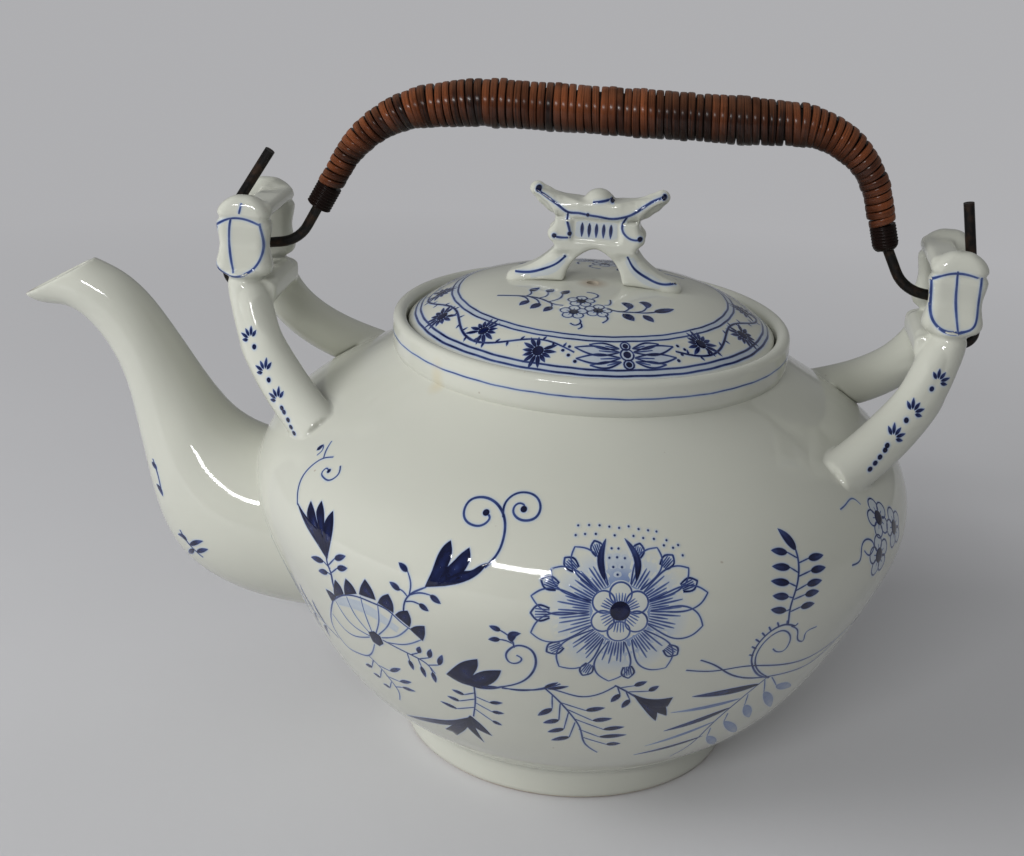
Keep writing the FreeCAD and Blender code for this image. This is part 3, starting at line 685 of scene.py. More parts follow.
GRIP_ROUTE = [
    (-93.6, 135.2), (-81.1, 137.0), (-61.5, 173.8), (-33.0, 178.0),
    (66.9, 178.0), (74.9, 149.5), (81.1, 137.0), (93.6, 135.2),
]
GRIP_BENDS = [10.0, 33.0, 60.0, 24.0, 30.0, 10.0]
BARE_WIRE = 6.0
BINDING_LENGTH = 6.5
GRIP_END_RADIUS = 3.5
GRIP_SWELL = 2.7
GRIP_TAPER = 56.0
CANE_TURNS = 83
CANE_THICKNESS = 1.22
CANE_HALF_WIDTH = 0.985
CANE_SUNK = 1.25
CANE_END = 0.95
DARK_TURNS = ((47, 54), (56, 63))
WORN_TURNS = 70
# Section of the cane strip: place across, height and share of painted shade at its edge, in the gap
# between turns
CANE_SECTION = np.array([
    (-1.0, 0.45, 1.0), (-0.96, 0.82, 0.85), (-0.82, 0.965, 0.35), (-0.45, 1.03, 0.0),
    (0.0, 1.045, 0.0), (0.45, 1.03, 0.0), (0.82, 0.965, 0.35), (0.96, 0.82, 0.85),
    (1.0, 0.45, 1.0), (0.9, 0.0, 1.0), (-0.9, 0.0, 1.0),
])
THREAD_PITCH = 0.82
THREAD_RADIUS = 3.15
THREAD_RISE = 0.30
BINDING_BORE = 1.5
BINDING_ROUND = 2.6


def grip_line():
    """The bail's centre line as fine steps, and the distances where its two foot bends end."""
    route = [np.array(point) for point in GRIP_ROUTE]
    line, feet = [route[0]], []
    for before, corner, after, bend in zip(route, route[1:], route[2:], GRIP_BENDS):
        into = (corner - before) / np.linalg.norm(corner - before)
        out = (after - corner) / np.linalg.norm(after - corner)
        half = math.acos(np.clip(into @ out, -1, 1)) / 2
        start = corner - into * bend * math.tan(half)
        end = corner + out * bend * math.tan(half)
        inward = (out - into) / np.linalg.norm(out - into)
        hub = corner + inward * bend / math.cos(half)
        feet.append((run_length(line + [start]), run_length(line + [start]) + bend * 2 * half))
        for share in np.linspace(0, 1, 60):
            early, late = math.sin((1 - share) * 2 * half), math.sin(share * 2 * half)
            line.append(hub + ((start - hub) * early + (end - hub) * late) / math.sin(2 * half))
    line.append(route[-1])
    return np.array(line), feet[0][1], feet[-1][0]


wire_line, left_foot, right_foot = grip_line()
wire_run = distances(wire_line)
grip_start = left_foot + BARE_WIRE
grip_end = right_foot - BARE_WIRE
wrap_start = grip_start + BINDING_LENGTH
wrap_end = grip_end - BINDING_LENGTH


def on_wire(distance):
    """Points (x, z) and directions on the grip's centre line."""
    def at(run):
        return np.stack([np.interp(run, wire_run, wire_line[:, axis]) for axis in (0, 1)], axis=-1)

    slope = at(distance + 0.4) - at(distance - 0.4)
    return at(distance), slope / np.linalg.norm(slope, axis=-1, keepdims=True)


def grip_radius(distance):
    """The wrapped grip's radius, which swells from both ends."""
    nearer = np.clip(np.minimum(distance - wrap_start, wrap_end - distance) / GRIP_TAPER, 0.0, 1.0)
    return GRIP_END_RADIUS + GRIP_SWELL * np.sin(math.pi / 2 * nearer) ** 2


def paint(mesh, name, values):
    """A value at each point of the mesh, for its finish to read."""
    layer = mesh.attributes.new(name, "FLOAT", "POINT")
    layer.data.foreach_set("value", np.asarray(values, np.float32).ravel())


def make_cane(cane):
    """One flat strip of cane wound closely round the grip, each turn a little different."""
    around = 36
    pitch = (wrap_end - wrap_start - 2 * CANE_END) / CANE_TURNS
    steps = np.arange(CANE_TURNS * around + 1)
    turn = steps / around
    whole = np.minimum(turn.astype(int), CANE_TURNS - 1)

    def drift(amount):
        return np.interp(turn, np.arange(CANE_TURNS + 1), chance.normal(0, amount, CANE_TURNS + 1))

    slip = drift(0.09)
    lean = drift(0.20)
    swell = drift(0.13)
    tones = np.clip(chance.normal(0.50, 0.29, CANE_TURNS), 0.05, 0.98)
    for first, last in DARK_TURNS:
        tones[first:last] *= 0.25
    tones[WORN_TURNS:] += 0.15
    width = CANE_HALF_WIDTH + drift(0.05)
    angle = 2 * math.pi * turn
    distance = wrap_start + CANE_END + pitch * turn + slip + lean * np.sin(angle)
    centre, slope = on_wire(distance)
    up = np.stack([-slope[:, 1], slope[:, 0]], axis=1)
    radius = grip_radius(distance) + swell - CANE_SUNK
    points = []
    for across, out, _ in CANE_SECTION:
        reach = radius + CANE_THICKNESS * out
        point = centre + slope * (across * width)[:, None] + up * (reach * np.sin(angle))[:, None]
        points.append(np.stack([point[:, 0], reach * np.cos(angle), point[:, 1]], axis=1))
    rim = len(CANE_SECTION)
    points = np.stack(points, axis=1).reshape(-1, 3)
    faces = tube_faces(len(steps), rim, False)
    faces.append(tuple(range(rim)))
    faces.append(tuple(range((len(steps) - 1) * rim, len(steps) * rim))[::-1])
    mesh = closed_mesh("cane", points * MM, faces)
    piece = dress("cane_wrap", mesh, cane, "bail")
    paint(mesh, "across", np.tile(CANE_SECTION[:, 0] * 0.9 * MM, len(steps)))
    # Share of painted shade at the strip's edges, in the gaps between turns
    paint(mesh, "edge", np.tile(CANE_SECTION[:, 2], len(steps)))
    paint(mesh, "along", np.repeat(turn * 2 * math.pi * 5.5 * MM, rim))
    paint(mesh, "tone", np.repeat(tones[whole], rim))
    # Share towards the top of the grip, read by the finish for its painted highlight and painted shade
    paint(mesh, "upper", np.repeat(0.5 + 0.5 * np.sin(angle), rim))
    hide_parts("cane_winding_left", "cane_winding_middle", "cane_winding_right")


def make_binding(side_name, thread):
    """Fine turns of thread over the end of the grip, square on the left and rounded on the right."""
    left = side_name == "left"
    outer = grip_start if left else grip_end
    toward = 1 if left else -1
    point, slope = on_wire(np.array(outer + toward * BINDING_LENGTH))
    axis = slope * toward
    base = point - axis * BINDING_LENGTH
    side = np.array([-axis[1], axis[0]])
    length = BINDING_LENGTH + 0.35
    profile = [(0.05, BINDING_BORE)]
    for along in np.arange(0.1, length, 0.1):
        radius = THREAD_RADIUS + THREAD_RISE * abs(math.sin(math.pi * along / THREAD_PITCH))
        if left:
            radius = min(radius, 2.5 + 6.0 * along)
        else:
            short = 1.0 - min(along, BINDING_ROUND) / BINDING_ROUND
            radius = min(radius, 1.55 + 1.95 * math.sqrt(1.0 - short ** 2))
        profile.append((along, radius))
    profile.append((length, BINDING_BORE))
    count = 40
    points = []
    for along, radius in profile:
        for step in range(count):
            turn = 2 * math.pi * step / count
            lead = THREAD_PITCH / 2 * step / count
            spot = base + axis * (along + lead) + side * radius * math.cos(turn)
            points.append((spot[0], radius * math.sin(turn), spot[1]))
    mesh = closed_mesh("binding", np.array(points) * MM, tube_faces(len(profile), count, True))
    piece = dress("thread_binding_" + side_name, mesh, thread, "bail")
    paint(mesh, "tone", np.full(len(mesh.vertices), 0.3))
    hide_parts("end_binding_" + side_name)


# Brush strokes

# Lines and leaves on the belly: width, load of colour, and places (round, up) from its front
STEMS = [
    (0.50, 0.80, [
        (-76.6, 7.2), (-79.1, 10.2), (-80.5, 13.5), (-80.2, 17.1), (-78.6, 20.2), (-75.3, 22.2),
    ]),
    (0.45, 0.80, [(-78.4, 20.6), (-80.4, 22.7), (-81.9, 25.2)]),
    (0.35, 0.80, [(-81.8, 20.1), (-81.7, 21.9), (-83.2, 23.0)]),
    (0.45, 0.80, [
        (-70.0, 21.3), (-68.3, 19.2), (-69.3, 17.1), (-72.4, 16.6), (-74.4, 17.5), (-74.2, 18.8),
        (-72.4, 18.7),
    ]),
    (0.70, 0.80, [(-60.6, -0.3), (-60.2, -2.1), (-59.1, -4.4), (-59.0, -6.8), (-59.0, -9.9)]),
    (0.35, 0.80, [(-59.2, -3.2), (-61.7, -2.2)]),
    (0.35, 0.80, [(-58.9, -5.0), (-60.4, -4.8)]),
    (0.35, 0.80, [(-59.7, -2.4), (-57.5, 0.1)]),
    (0.35, 0.80, [(-58.9, -4.3), (-56.5, -2.1)]),
    (0.50, 0.80, [
        (-61.7, -14.4), (-55.4, -9.6), (-49.7, -7.8), (-44.6, -7.7), (-40.5, -8.2), (-37.6, -10.3),
        (-35.1, -11.9), (-32.9, -13.1), (-31.6, -14.6),
    ]),
    (0.40, 0.65, [(-48.7, -20.2), (-49.0, -13.8), (-49.0, -7.3)]),
    (0.40, 0.65, [(-47.2, -18.8), (-44.3, -12.6), (-43.5, -7.1)]),
    (0.40, 0.65, [(-46.4, -19.1), (-41.2, -12.9), (-39.0, -8.2)]),
    (0.40, 0.65, [(-45.6, -19.9), (-39.4, -16.5), (-35.1, -11.9)]),
    (0.40, 0.65, [(-44.7, -21.0), (-37.8, -18.9), (-31.8, -14.7)]),
    (0.40, 0.65, [(-49.1, -20.8), (-53.2, -15.8), (-54.5, -9.7)]),
    (0.40, 0.65, [(-50.0, -21.4), (-57.6, -19.7), (-60.3, -13.7)]),
    (0.40, 0.65, [(-50.7, -22.0), (-62.2, -24.6), (-65.3, -20.9)]),
    (0.50, 0.65, [
        (-61.7, -14.4), (-67.3, -22.8), (-69.2, -29.2), (-66.5, -33.3), (-60.6, -33.1), (-55.2, -31.2),
        (-51.6, -27.4), (-49.7, -24.2),
    ]),
    (3.40, 0.20, [(-59.7, -13.4), (-52.4, -11.3), (-46.5, -11.1), (-42.2, -12.5), (-38.8, -14.1)]),
    (0.50, 0.80, [(-45.5, -20.7), (-40.9, -21.5), (-35.7, -22.5), (-32.3, -23.9), (-30.4, -26.9)]),
    (0.35, 0.80, [(-36.8, -22.3), (-34.1, -20.5)]),
    (0.35, 0.80, [(-34.3, -22.8), (-31.0, -21.1)]),
    (0.35, 0.80, [(-32.0, -24.3), (-28.5, -22.9)]),
    (0.35, 0.80, [(-37.9, -22.3), (-37.9, -24.8)]),
    (0.35, 0.80, [(-34.7, -23.0), (-34.4, -25.7)]),
    (0.35, 0.80, [(-31.4, -25.0), (-31.1, -26.7)]),
    (0.45, 0.70, [(-55.2, -31.2), (-52.4, -33.6), (-49.7, -38.2), (-48.5, -41.8), (-50.8, -47.9)]),
    (0.35, 0.70, [(-53.8, -32.4), (-56.3, -36.1)]),
    (0.35, 0.70, [(-51.8, -35.2), (-54.6, -39.7)]),
    (0.35, 0.70, [(-49.8, -39.3), (-52.1, -42.8)]),
    (0.35, 0.70, [(-52.4, -33.6), (-47.7, -33.7)]),
    (0.35, 0.70, [(-50.7, -37.2), (-45.3, -36.9)]),
    (0.35, 0.70, [(-49.1, -41.0), (-45.5, -39.4)]),
    (0.45, 0.80, [(-70.0, -32.0), (-77.5, -29.4), (-85.5, -27.4), (-93.0, -24.2), (-99.0, -18.5)]),
    (0.50, 0.80, [(-35.7, -7.0), (-35.1, -3.9), (-33.8, -1.6), (-31.7, 0.2), (-29.4, 1.7)]),
    (0.40, 0.80, [(-33.8, -1.6), (-33.6, 1.7), (-34.8, 4.1)]),
    (0.40, 0.80, [(-34.3, -2.1), (-35.6, -1.0), (-36.8, -0.7)]),
    (0.40, 0.80, [(-33.7, -1.5), (-30.7, -0.1), (-28.2, 0.0)]),
    (0.40, 0.80, [(-34.8, -3.6), (-32.7, -3.0), (-31.0, -3.2)]),
    (0.75, 0.80, [
        (-15.6, 9.3), (-13.3, 12.8), (-12.6, 16.9), (-13.2, 20.5), (-14.8, 23.3), (-17.7, 25.5),
        (-21.6, 26.1), (-24.5, 24.7), (-25.1, 21.9), (-23.7, 19.4), (-21.0, 18.5), (-18.6, 19.2),
        (-17.6, 21.2), (-19.0, 22.3),
    ]),
    (0.70, 0.80, [
        (-14.1, 21.9), (-14.7, 25.5), (-13.0, 28.3), (-9.8, 29.4), (-6.3, 28.4), (-4.8, 25.9),
        (-5.4, 23.2), (-7.9, 21.9), (-10.6, 22.4), (-12.0, 24.4), (-11.1, 26.1), (-9.4, 25.9),
        (-8.9, 24.9),
    ]),
    (0.60, 0.80, [
        (-13.9, -26.9), (-9.2, -24.9), (-5.2, -22.0), (-2.7, -17.8), (-2.1, -13.2), (-3.5, -10.0),
        (-6.2, -9.3), (-8.5, -11.1), (-9.4, -13.8), (-8.4, -15.8), (-6.3, -15.3), (-5.6, -13.6),
        (-6.7, -12.8),
    ]),
    (0.45, 0.80, [(-7.3, -10.2), (-7.9, -7.7), (-9.0, -6.4), (-10.5, -5.5)]),
    (0.40, 0.80, [(-7.8, -8.9), (-9.4, -8.3), (-10.8, -8.3)]),
    (0.55, 0.80, [(-11.2, -26.4), (-6.6, -25.9), (-2.8, -25.2), (1.0, -23.8), (4.1, -21.7)]),
    (0.50, 0.80, [(-19.1, -28.2), (-19.5, -33.4), (-21.5, -42.0)]),
    (0.35, 0.80, [(-19.3, -30.8), (-22.7, -32.7)]),
    (0.35, 0.80, [(-19.6, -33.5), (-24.8, -36.2)]),
    (0.35, 0.80, [(-20.3, -37.4), (-26.5, -40.3)]),
    (0.35, 0.80, [(-19.4, -32.3), (-15.3, -33.7)]),
    (0.35, 0.80, [(-19.8, -35.1), (-15.1, -37.7)]),
    (0.35, 0.80, [(-20.4, -38.0), (-15.6, -42.1)]),
    (0.60, 0.80, [(61.2, -6.4), (60.7, -1.1), (62.3, 3.4), (63.6, 7.6), (64.0, 11.5), (63.6, 14.3)]),
    (0.35, 0.80, [(63.7, 10.2), (61.2, 12.0)]),
    (0.35, 0.80, [(63.3, 6.7), (61.0, 8.4)]),
    (0.35, 0.80, [(62.4, 3.5), (60.2, 4.8)]),
    (0.35, 0.80, [(61.3, 0.9), (59.9, 1.5)]),
    (0.35, 0.80, [(60.8, -1.9), (59.5, -2.1)]),
    (0.35, 0.80, [(63.9, 8.9), (67.2, 9.3)]),
    (0.35, 0.80, [(63.2, 5.8), (67.3, 6.3)]),
    (0.35, 0.80, [(62.2, 2.6), (65.6, 3.3)]),
    (0.35, 0.80, [(61.5, 0.5), (65.0, 0.9)]),
    (0.35, 0.80, [(61.0, -2.6), (64.0, -2.1)]),
    (0.60, 0.80, [
        (63.8, -7.7), (59.9, -6.2), (56.1, -7.3), (53.7, -10.6), (53.5, -15.4), (55.8, -20.2),
        (60.2, -24.8), (64.7, -27.2),
    ]),
    (0.45, 0.80, [
        (64.7, -27.2), (58.5, -22.3), (55.5, -18.0), (54.7, -12.8), (56.2, -9.5), (59.6, -8.0),
        (63.0, -10.1), (64.6, -13.5), (64.1, -16.3), (61.7, -16.0), (59.5, -14.2),
    ]),
    (0.50, 0.80, [(56.2, -7.1), (55.2, -5.7)]),
    (0.50, 0.80, [(55.0, -8.6), (53.6, -7.1)]),
    (0.50, 0.80, [(54.0, -10.3), (52.3, -8.9)]),
    (0.50, 0.80, [(53.6, -12.5), (52.0, -11.3)]),
    (0.50, 0.80, [(53.7, -15.0), (52.3, -14.3)]),
    (0.50, 0.80, [(58.3, -6.3), (57.5, -4.9)]),
    (0.50, 0.80, [(60.8, -6.4), (60.5, -5.1)]),
    (0.50, 0.80, [(63.8, -7.8), (64.6, -7.1)]),
    (0.40, 0.80, [
        (62.6, -7.4), (65.4, -9.5), (68.3, -14.3), (70.1, -15.0), (69.4, -12.0), (72.9, -11.0),
    ]),
    (0.50, 0.80, [
        (35.5, -16.6), (43.6, -18.3), (51.5, -18.6), (61.1, -21.0), (72.6, -24.1), (83.8, -24.9),
        (97.0, -23.0), (108.7, -23.3),
    ]),
    (0.50, 0.80, [
        (38.5, -13.3), (42.9, -15.9), (48.0, -20.1), (55.4, -24.1), (62.2, -26.0), (73.1, -28.1),
        (85.7, -28.4), (92.4, -24.8),
    ]),
    (0.50, 0.80, [
        (63.4, -27.0), (59.7, -31.3), (56.5, -36.0), (52.7, -43.6), (51.2, -50.2), (49.4, -56.3),
        (46.4, -61.5),
    ]),
    (0.40, 0.60, [(63.3, -27.5), (66.7, -33.9)]),
    (0.40, 0.60, [(65.8, -27.4), (70.8, -32.7)]),
    (0.40, 0.60, [(59.9, -32.4), (61.6, -37.8)]),
    (0.40, 0.60, [(56.5, -39.7), (57.3, -43.9)]),
    (0.40, 0.60, [(53.4, -45.9), (54.8, -50.8)]),
    (0.55, 0.80, [(0.1, -23.8), (3.3, -27.7), (7.2, -33.6), (10.7, -40.8), (12.5, -47.6), (17.3, -53.2)]),
    (0.35, 0.80, [(2.2, -26.7), (2.3, -32.1)]),
    (0.35, 0.80, [(4.4, -29.8), (4.3, -37.0)]),
    (0.35, 0.80, [(6.8, -33.4), (5.9, -41.0)]),
    (0.35, 0.80, [(8.9, -37.7), (7.7, -44.9)]),
    (0.35, 0.80, [(4.4, -29.2), (11.4, -32.0)]),
    (0.35, 0.80, [(6.3, -31.9), (13.7, -36.4)]),
    (0.35, 0.80, [(8.4, -35.9), (17.3, -40.5)]),
    (0.35, 0.80, [(10.3, -40.8), (16.6, -44.3)]),
    (0.35, 0.80, [(11.8, -44.8), (19.3, -48.3)]),
    (0.50, 0.80, [(-11.7, -26.0), (-5.9, -26.1), (0.1, -23.8), (3.5, -22.2)]),
    (0.50, 0.80, [(18.2, -21.5), (15.0, -24.4), (9.6, -26.2), (4.6, -24.8), (1.1, -23.8)]),
    (0.60, 0.80, [(18.0, -21.3), (21.1, -23.6), (24.8, -26.7)]),
    (0.35, 0.80, [(19.5, -22.2), (22.9, -21.5)]),
    (0.35, 0.80, [(21.8, -23.9), (27.1, -23.9)]),
    (0.35, 0.80, [(18.8, -22.2), (19.7, -24.7)]),
    (0.35, 0.80, [(21.2, -23.9), (22.6, -27.0)]),
    (0.40, 0.60, [(85.5, 17.4), (88.9, 17.9), (93.6, 18.0), (94.9, 16.0)]),
    (0.45, 0.80, [
        (82.8, 3.6), (86.6, 4.0), (88.0, 6.7), (91.9, 7.5), (93.9, 5.2), (91.2, 3.6), (88.9, 5.4),
    ]),
]
LEAVES = [
    (1.5, 1.00, [(-83.7, 21.0), (-83.5, 23.2)]),
    (1.5, 1.00, [(-61.7, -2.2), (-67.0, -3.2)]),
    (1.5, 1.00, [(-60.4, -4.8), (-64.4, -6.1)]),
    (1.5, 1.00, [(-57.5, 0.1), (-53.8, 2.1)]),
    (1.5, 1.00, [(-56.5, -2.1), (-52.9, -0.7)]),
    (1.4, 1.00, [(-34.1, -20.5), (-33.0, -17.8)]),
    (1.4, 1.00, [(-31.0, -21.1), (-29.8, -17.5)]),
    (1.4, 1.00, [(-28.5, -22.9), (-26.7, -18.5)]),
    (1.4, 1.00, [(-37.9, -24.8), (-37.7, -28.5)]),
    (1.4, 1.00, [(-34.4, -25.7), (-34.1, -29.9)]),
    (1.4, 1.00, [(-31.1, -26.7), (-31.1, -30.8)]),
    (1.3, 0.90, [(-56.3, -36.1), (-59.8, -37.4)]),
    (1.3, 0.90, [(-54.6, -39.7), (-57.7, -39.8)]),
    (1.3, 0.90, [(-52.1, -42.8), (-55.1, -42.9)]),
    (1.3, 0.90, [(-47.7, -33.7), (-42.7, -30.3)]),
    (1.3, 0.90, [(-45.3, -36.9), (-40.4, -34.7)]),
    (1.3, 0.90, [(-45.5, -39.4), (-40.4, -38.6)]),
    (1.6, 0.95, [(-75.4, -29.6), (-77.1, -25.6), (-76.7, -22.0)]),
    (1.6, 0.95, [(-75.8, -30.8), (-78.5, -33.6), (-79.1, -36.6)]),
    (1.6, 0.95, [(-80.9, -27.8), (-83.1, -23.8), (-82.7, -19.6)]),
    (1.6, 0.95, [(-81.3, -29.2), (-84.3, -32.4), (-84.9, -36.0)]),
    (1.6, 0.95, [(-86.9, -26.2), (-88.9, -22.6), (-88.7, -18.6)]),
    (1.6, 0.95, [(-87.3, -27.6), (-90.1, -30.6), (-90.9, -34.0)]),
    (1.6, 0.95, [(-92.4, -23.8), (-93.9, -20.4), (-93.5, -17.0)]),
    (1.6, 0.95, [(-92.9, -25.2), (-95.7, -27.8), (-96.5, -30.8)]),
    (1.6, 0.95, [(-98.7, -18.9), (-100.5, -15.6), (-100.7, -12.4)]),
    (1.5, 1.00, [(-34.8, 4.1), (-37.6, 5.5)]),
    (1.5, 1.00, [(-36.4, -1.0), (-39.4, 0.2)]),
    (1.5, 1.00, [(-28.2, 0.0), (-25.4, -1.5)]),
    (1.5, 1.00, [(-31.1, -3.1), (-28.6, -4.4)]),
    (1.7, 1.00, [(-21.5, -27.5), (-16.7, -27.4), (-11.2, -26.1)]),
    (1.4, 1.00, [(-10.5, -5.5), (-13.2, -4.7)]),
    (1.4, 1.00, [(-10.7, -8.2), (-13.5, -8.9)]),
    (1.9, 1.00, [(-8.0, -8.5), (-7.6, -6.2), (-5.8, -5.5)]),
    (1.3, 1.00, [(-22.7, -32.7), (-26.2, -31.9)]),
    (1.3, 1.00, [(-24.8, -36.2), (-28.4, -35.5)]),
    (1.3, 1.00, [(-26.5, -40.3), (-31.6, -39.1)]),
    (1.3, 1.00, [(-15.3, -33.7), (-11.6, -32.7)]),
    (1.3, 1.00, [(-15.1, -37.7), (-11.6, -37.4)]),
    (1.3, 1.00, [(-15.6, -42.1), (-12.8, -43.3)]),
    (2.3, 1.00, [(-21.9, -42.5), (-30.0, -48.5), (-38.6, -52.0), (-54.0, -57.7)]),
    (2.4, 1.00, [(64.0, 12.0), (62.5, 15.4), (60.9, 18.0)]),
    (1.75, 1.00, [(61.2, 12.0), (56.6, 13.3)]),
    (1.75, 1.00, [(61.0, 8.4), (55.8, 9.6)]),
    (1.75, 1.00, [(60.2, 4.8), (54.9, 6.3)]),
    (1.75, 1.00, [(59.9, 1.5), (55.1, 2.7)]),
    (1.75, 1.00, [(59.5, -2.1), (54.8, -0.7)]),
    (1.75, 1.00, [(67.2, 9.3), (72.4, 8.9)]),
    (1.75, 1.00, [(67.3, 6.3), (72.4, 5.9)]),
    (1.75, 1.00, [(65.6, 3.3), (70.7, 3.1)]),
    (1.75, 1.00, [(65.0, 0.9), (69.7, 0.6)]),
    (1.75, 1.00, [(64.0, -2.1), (68.6, -2.4)]),
    (2.4, 1.00, [(61.8, -28.8), (50.5, -28.5), (40.3, -27.9)]),
    (1.4, 0.50, [(57.5, -33.4), (46.3, -33.9), (35.8, -34.1)]),
    (2.0, 0.95, [(55.5, -36.9), (45.9, -40.1), (36.3, -42.9)]),
    (1.3, 0.50, [(53.0, -42.4), (42.7, -46.5), (32.4, -50.4)]),
    (1.3, 0.90, [(52.5, -49.9), (41.3, -53.0), (30.2, -55.8)]),
    (2.8, 0.40, [(66.7, -33.9), (79.5, -46.4)]),
    (2.8, 0.40, [(70.8, -32.7), (82.1, -38.4)]),
    (2.8, 0.40, [(61.6, -37.8), (69.8, -47.0)]),
    (2.8, 0.40, [(57.3, -43.9), (71.4, -56.1)]),
    (2.8, 0.40, [(54.8, -50.8), (66.3, -61.8)]),
    (1.8, 1.00, [(2.3, -32.1), (-1.6, -35.9)]),
    (1.8, 1.00, [(4.3, -37.0), (-0.1, -39.1)]),
    (1.8, 1.00, [(5.9, -41.0), (1.2, -43.3)]),
    (1.8, 1.00, [(7.7, -44.9), (2.3, -47.4)]),
    (1.8, 1.00, [(11.4, -32.0), (16.4, -30.6)]),
    (1.8, 1.00, [(13.7, -36.4), (19.0, -35.4)]),
    (1.8, 1.00, [(17.3, -40.5), (23.2, -39.4)]),
    (1.8, 1.00, [(16.6, -44.3), (24.6, -43.4)]),
    (1.8, 1.00, [(19.3, -48.3), (23.7, -48.0)]),
    (1.1, 1.00, [(0.1, -23.8), (3.5, -21.2)]),
    (1.1, 1.00, [(1.1, -24.2), (6.2, -22.4)]),
    (1.7, 1.00, [(22.9, -21.5), (25.9, -20.0)]),
    (1.7, 1.00, [(27.1, -23.9), (29.4, -22.0)]),
    (1.7, 1.00, [(19.7, -24.7), (17.8, -28.1)]),
    (1.7, 1.00, [(22.6, -27.0), (21.1, -30.6)]),
]
# Broad patches of colour on the belly, as outlines
BLOTS = [
    [
        (-29.7, 1.7), (-28.4, 6.1), (-27.8, 9.8), (-26.8, 12.4), (-25.7, 13.7), (-24.7, 11.6),
        (-24.6, 8.9), (-24.8, 7.5), (-23.4, 5.6), (-24.3, 3.3),
    ],
    [
        (-26.7, 2.6), (-26.1, 5.0), (-24.8, 7.5), (-23.6, 9.1), (-22.0, 11.4), (-20.5, 13.0),
        (-19.7, 10.7), (-20.1, 8.6), (-20.6, 7.4), (-21.7, 4.4),
    ],
    [
        (-27.1, 2.5), (-23.7, 5.5), (-20.7, 7.4), (-18.7, 8.0), (-16.9, 9.4), (-15.2, 10.3),
        (-16.6, 8.0), (-19.5, 5.5), (-23.0, 3.8),
    ],
    [
        (-60.2, -1.1), (-64.1, 1.3), (-69.2, 3.6), (-73.4, 5.7), (-76.9, 7.6), (-72.6, 6.4),
        (-69.3, 5.7), (-65.1, 4.8), (-61.0, 2.8),
    ],
    [
        (-60.2, -1.1), (-64.1, 1.7), (-68.0, 4.6), (-71.1, 6.5), (-71.8, 10.0), (-68.7, 8.3),
        (-65.7, 5.9), (-61.7, 3.0),
    ],
    [
        (-60.2, -1.1), (-63.2, 2.9), (-66.6, 6.9), (-68.0, 8.6), (-67.9, 11.5), (-65.3, 9.5),
        (-63.4, 6.7), (-60.9, 3.3),
    ],
    [(-60.2, -1.1), (-62.0, 2.5), (-63.3, 5.5), (-63.5, 8.0), (-62.3, 10.8), (-60.6, 8.2), (-59.7, 4.2)],
    [(-62.4, -14.9), (-63.3, -11.4), (-60.8, -11.3), (-59.4, -12.0)],
    [(-60.0, -12.2), (-59.3, -9.5), (-57.7, -5.9), (-56.0, -7.2), (-55.5, -9.3)],
    [(-55.0, -9.2), (-54.5, -6.6), (-53.5, -3.9), (-51.3, -5.1), (-50.3, -6.9)],
    [(-49.3, -6.7), (-48.4, -4.2), (-46.9, -1.6), (-44.8, -3.8), (-44.0, -6.3)],
    [(-43.3, -7.0), (-41.8, -4.6), (-39.8, -3.2), (-38.7, -5.5), (-38.9, -8.3)],
    [(-38.4, -8.9), (-37.0, -7.4), (-34.5, -6.2), (-33.9, -8.3), (-34.7, -11.4)],
    [(-34.7, -12.2), (-33.0, -10.7), (-30.2, -9.5), (-30.5, -12.1), (-31.6, -15.1)],
    [(-50.3, -20.0), (-47.9, -18.6), (-46.1, -19.5), (-45.8, -22.1), (-47.9, -23.9), (-49.9, -23.4)],
    [
        (-26.7, -25.8), (-23.6, -21.8), (-20.9, -19.0), (-17.0, -16.8), (-17.3, -20.0), (-19.0, -23.9),
        (-19.1, -27.9), (-22.2, -27.9),
    ],
    [
        (-21.7, -27.7), (-19.4, -24.3), (-15.7, -21.0), (-11.0, -19.4), (-12.2, -22.8), (-14.9, -26.1),
        (-18.3, -27.8),
    ],
    [(-22.6, -42.0), (-20.0, -44.9), (-17.0, -50.3), (-19.7, -49.3), (-22.5, -47.6)],
    [(-22.6, -42.0), (-22.3, -46.6), (-21.0, -55.8), (-23.5, -51.6), (-25.1, -47.8)],
    [(-22.2, -42.2), (-24.4, -47.5), (-31.5, -56.3), (-32.2, -54.8), (-35.1, -54.7), (-27.9, -47.4)],
    [
        (23.1, -24.9), (26.3, -26.7), (30.1, -27.6), (34.4, -27.3), (33.9, -31.0), (30.9, -31.1),
        (26.7, -29.0),
    ],
    [(23.1, -24.9), (27.4, -27.6), (31.5, -28.9), (34.7, -35.2), (32.6, -34.0), (29.1, -31.4)],
    [(23.1, -24.9), (26.5, -28.1), (30.4, -31.1), (32.0, -37.2), (29.6, -34.4), (26.5, -30.1)],
]
# Spots on the belly: radius and place
DOTS = [
    (0.57, -72.4, 18.7),
    (0.83, -19.0, 22.3),
    (0.83, -9.2, 24.8),
]
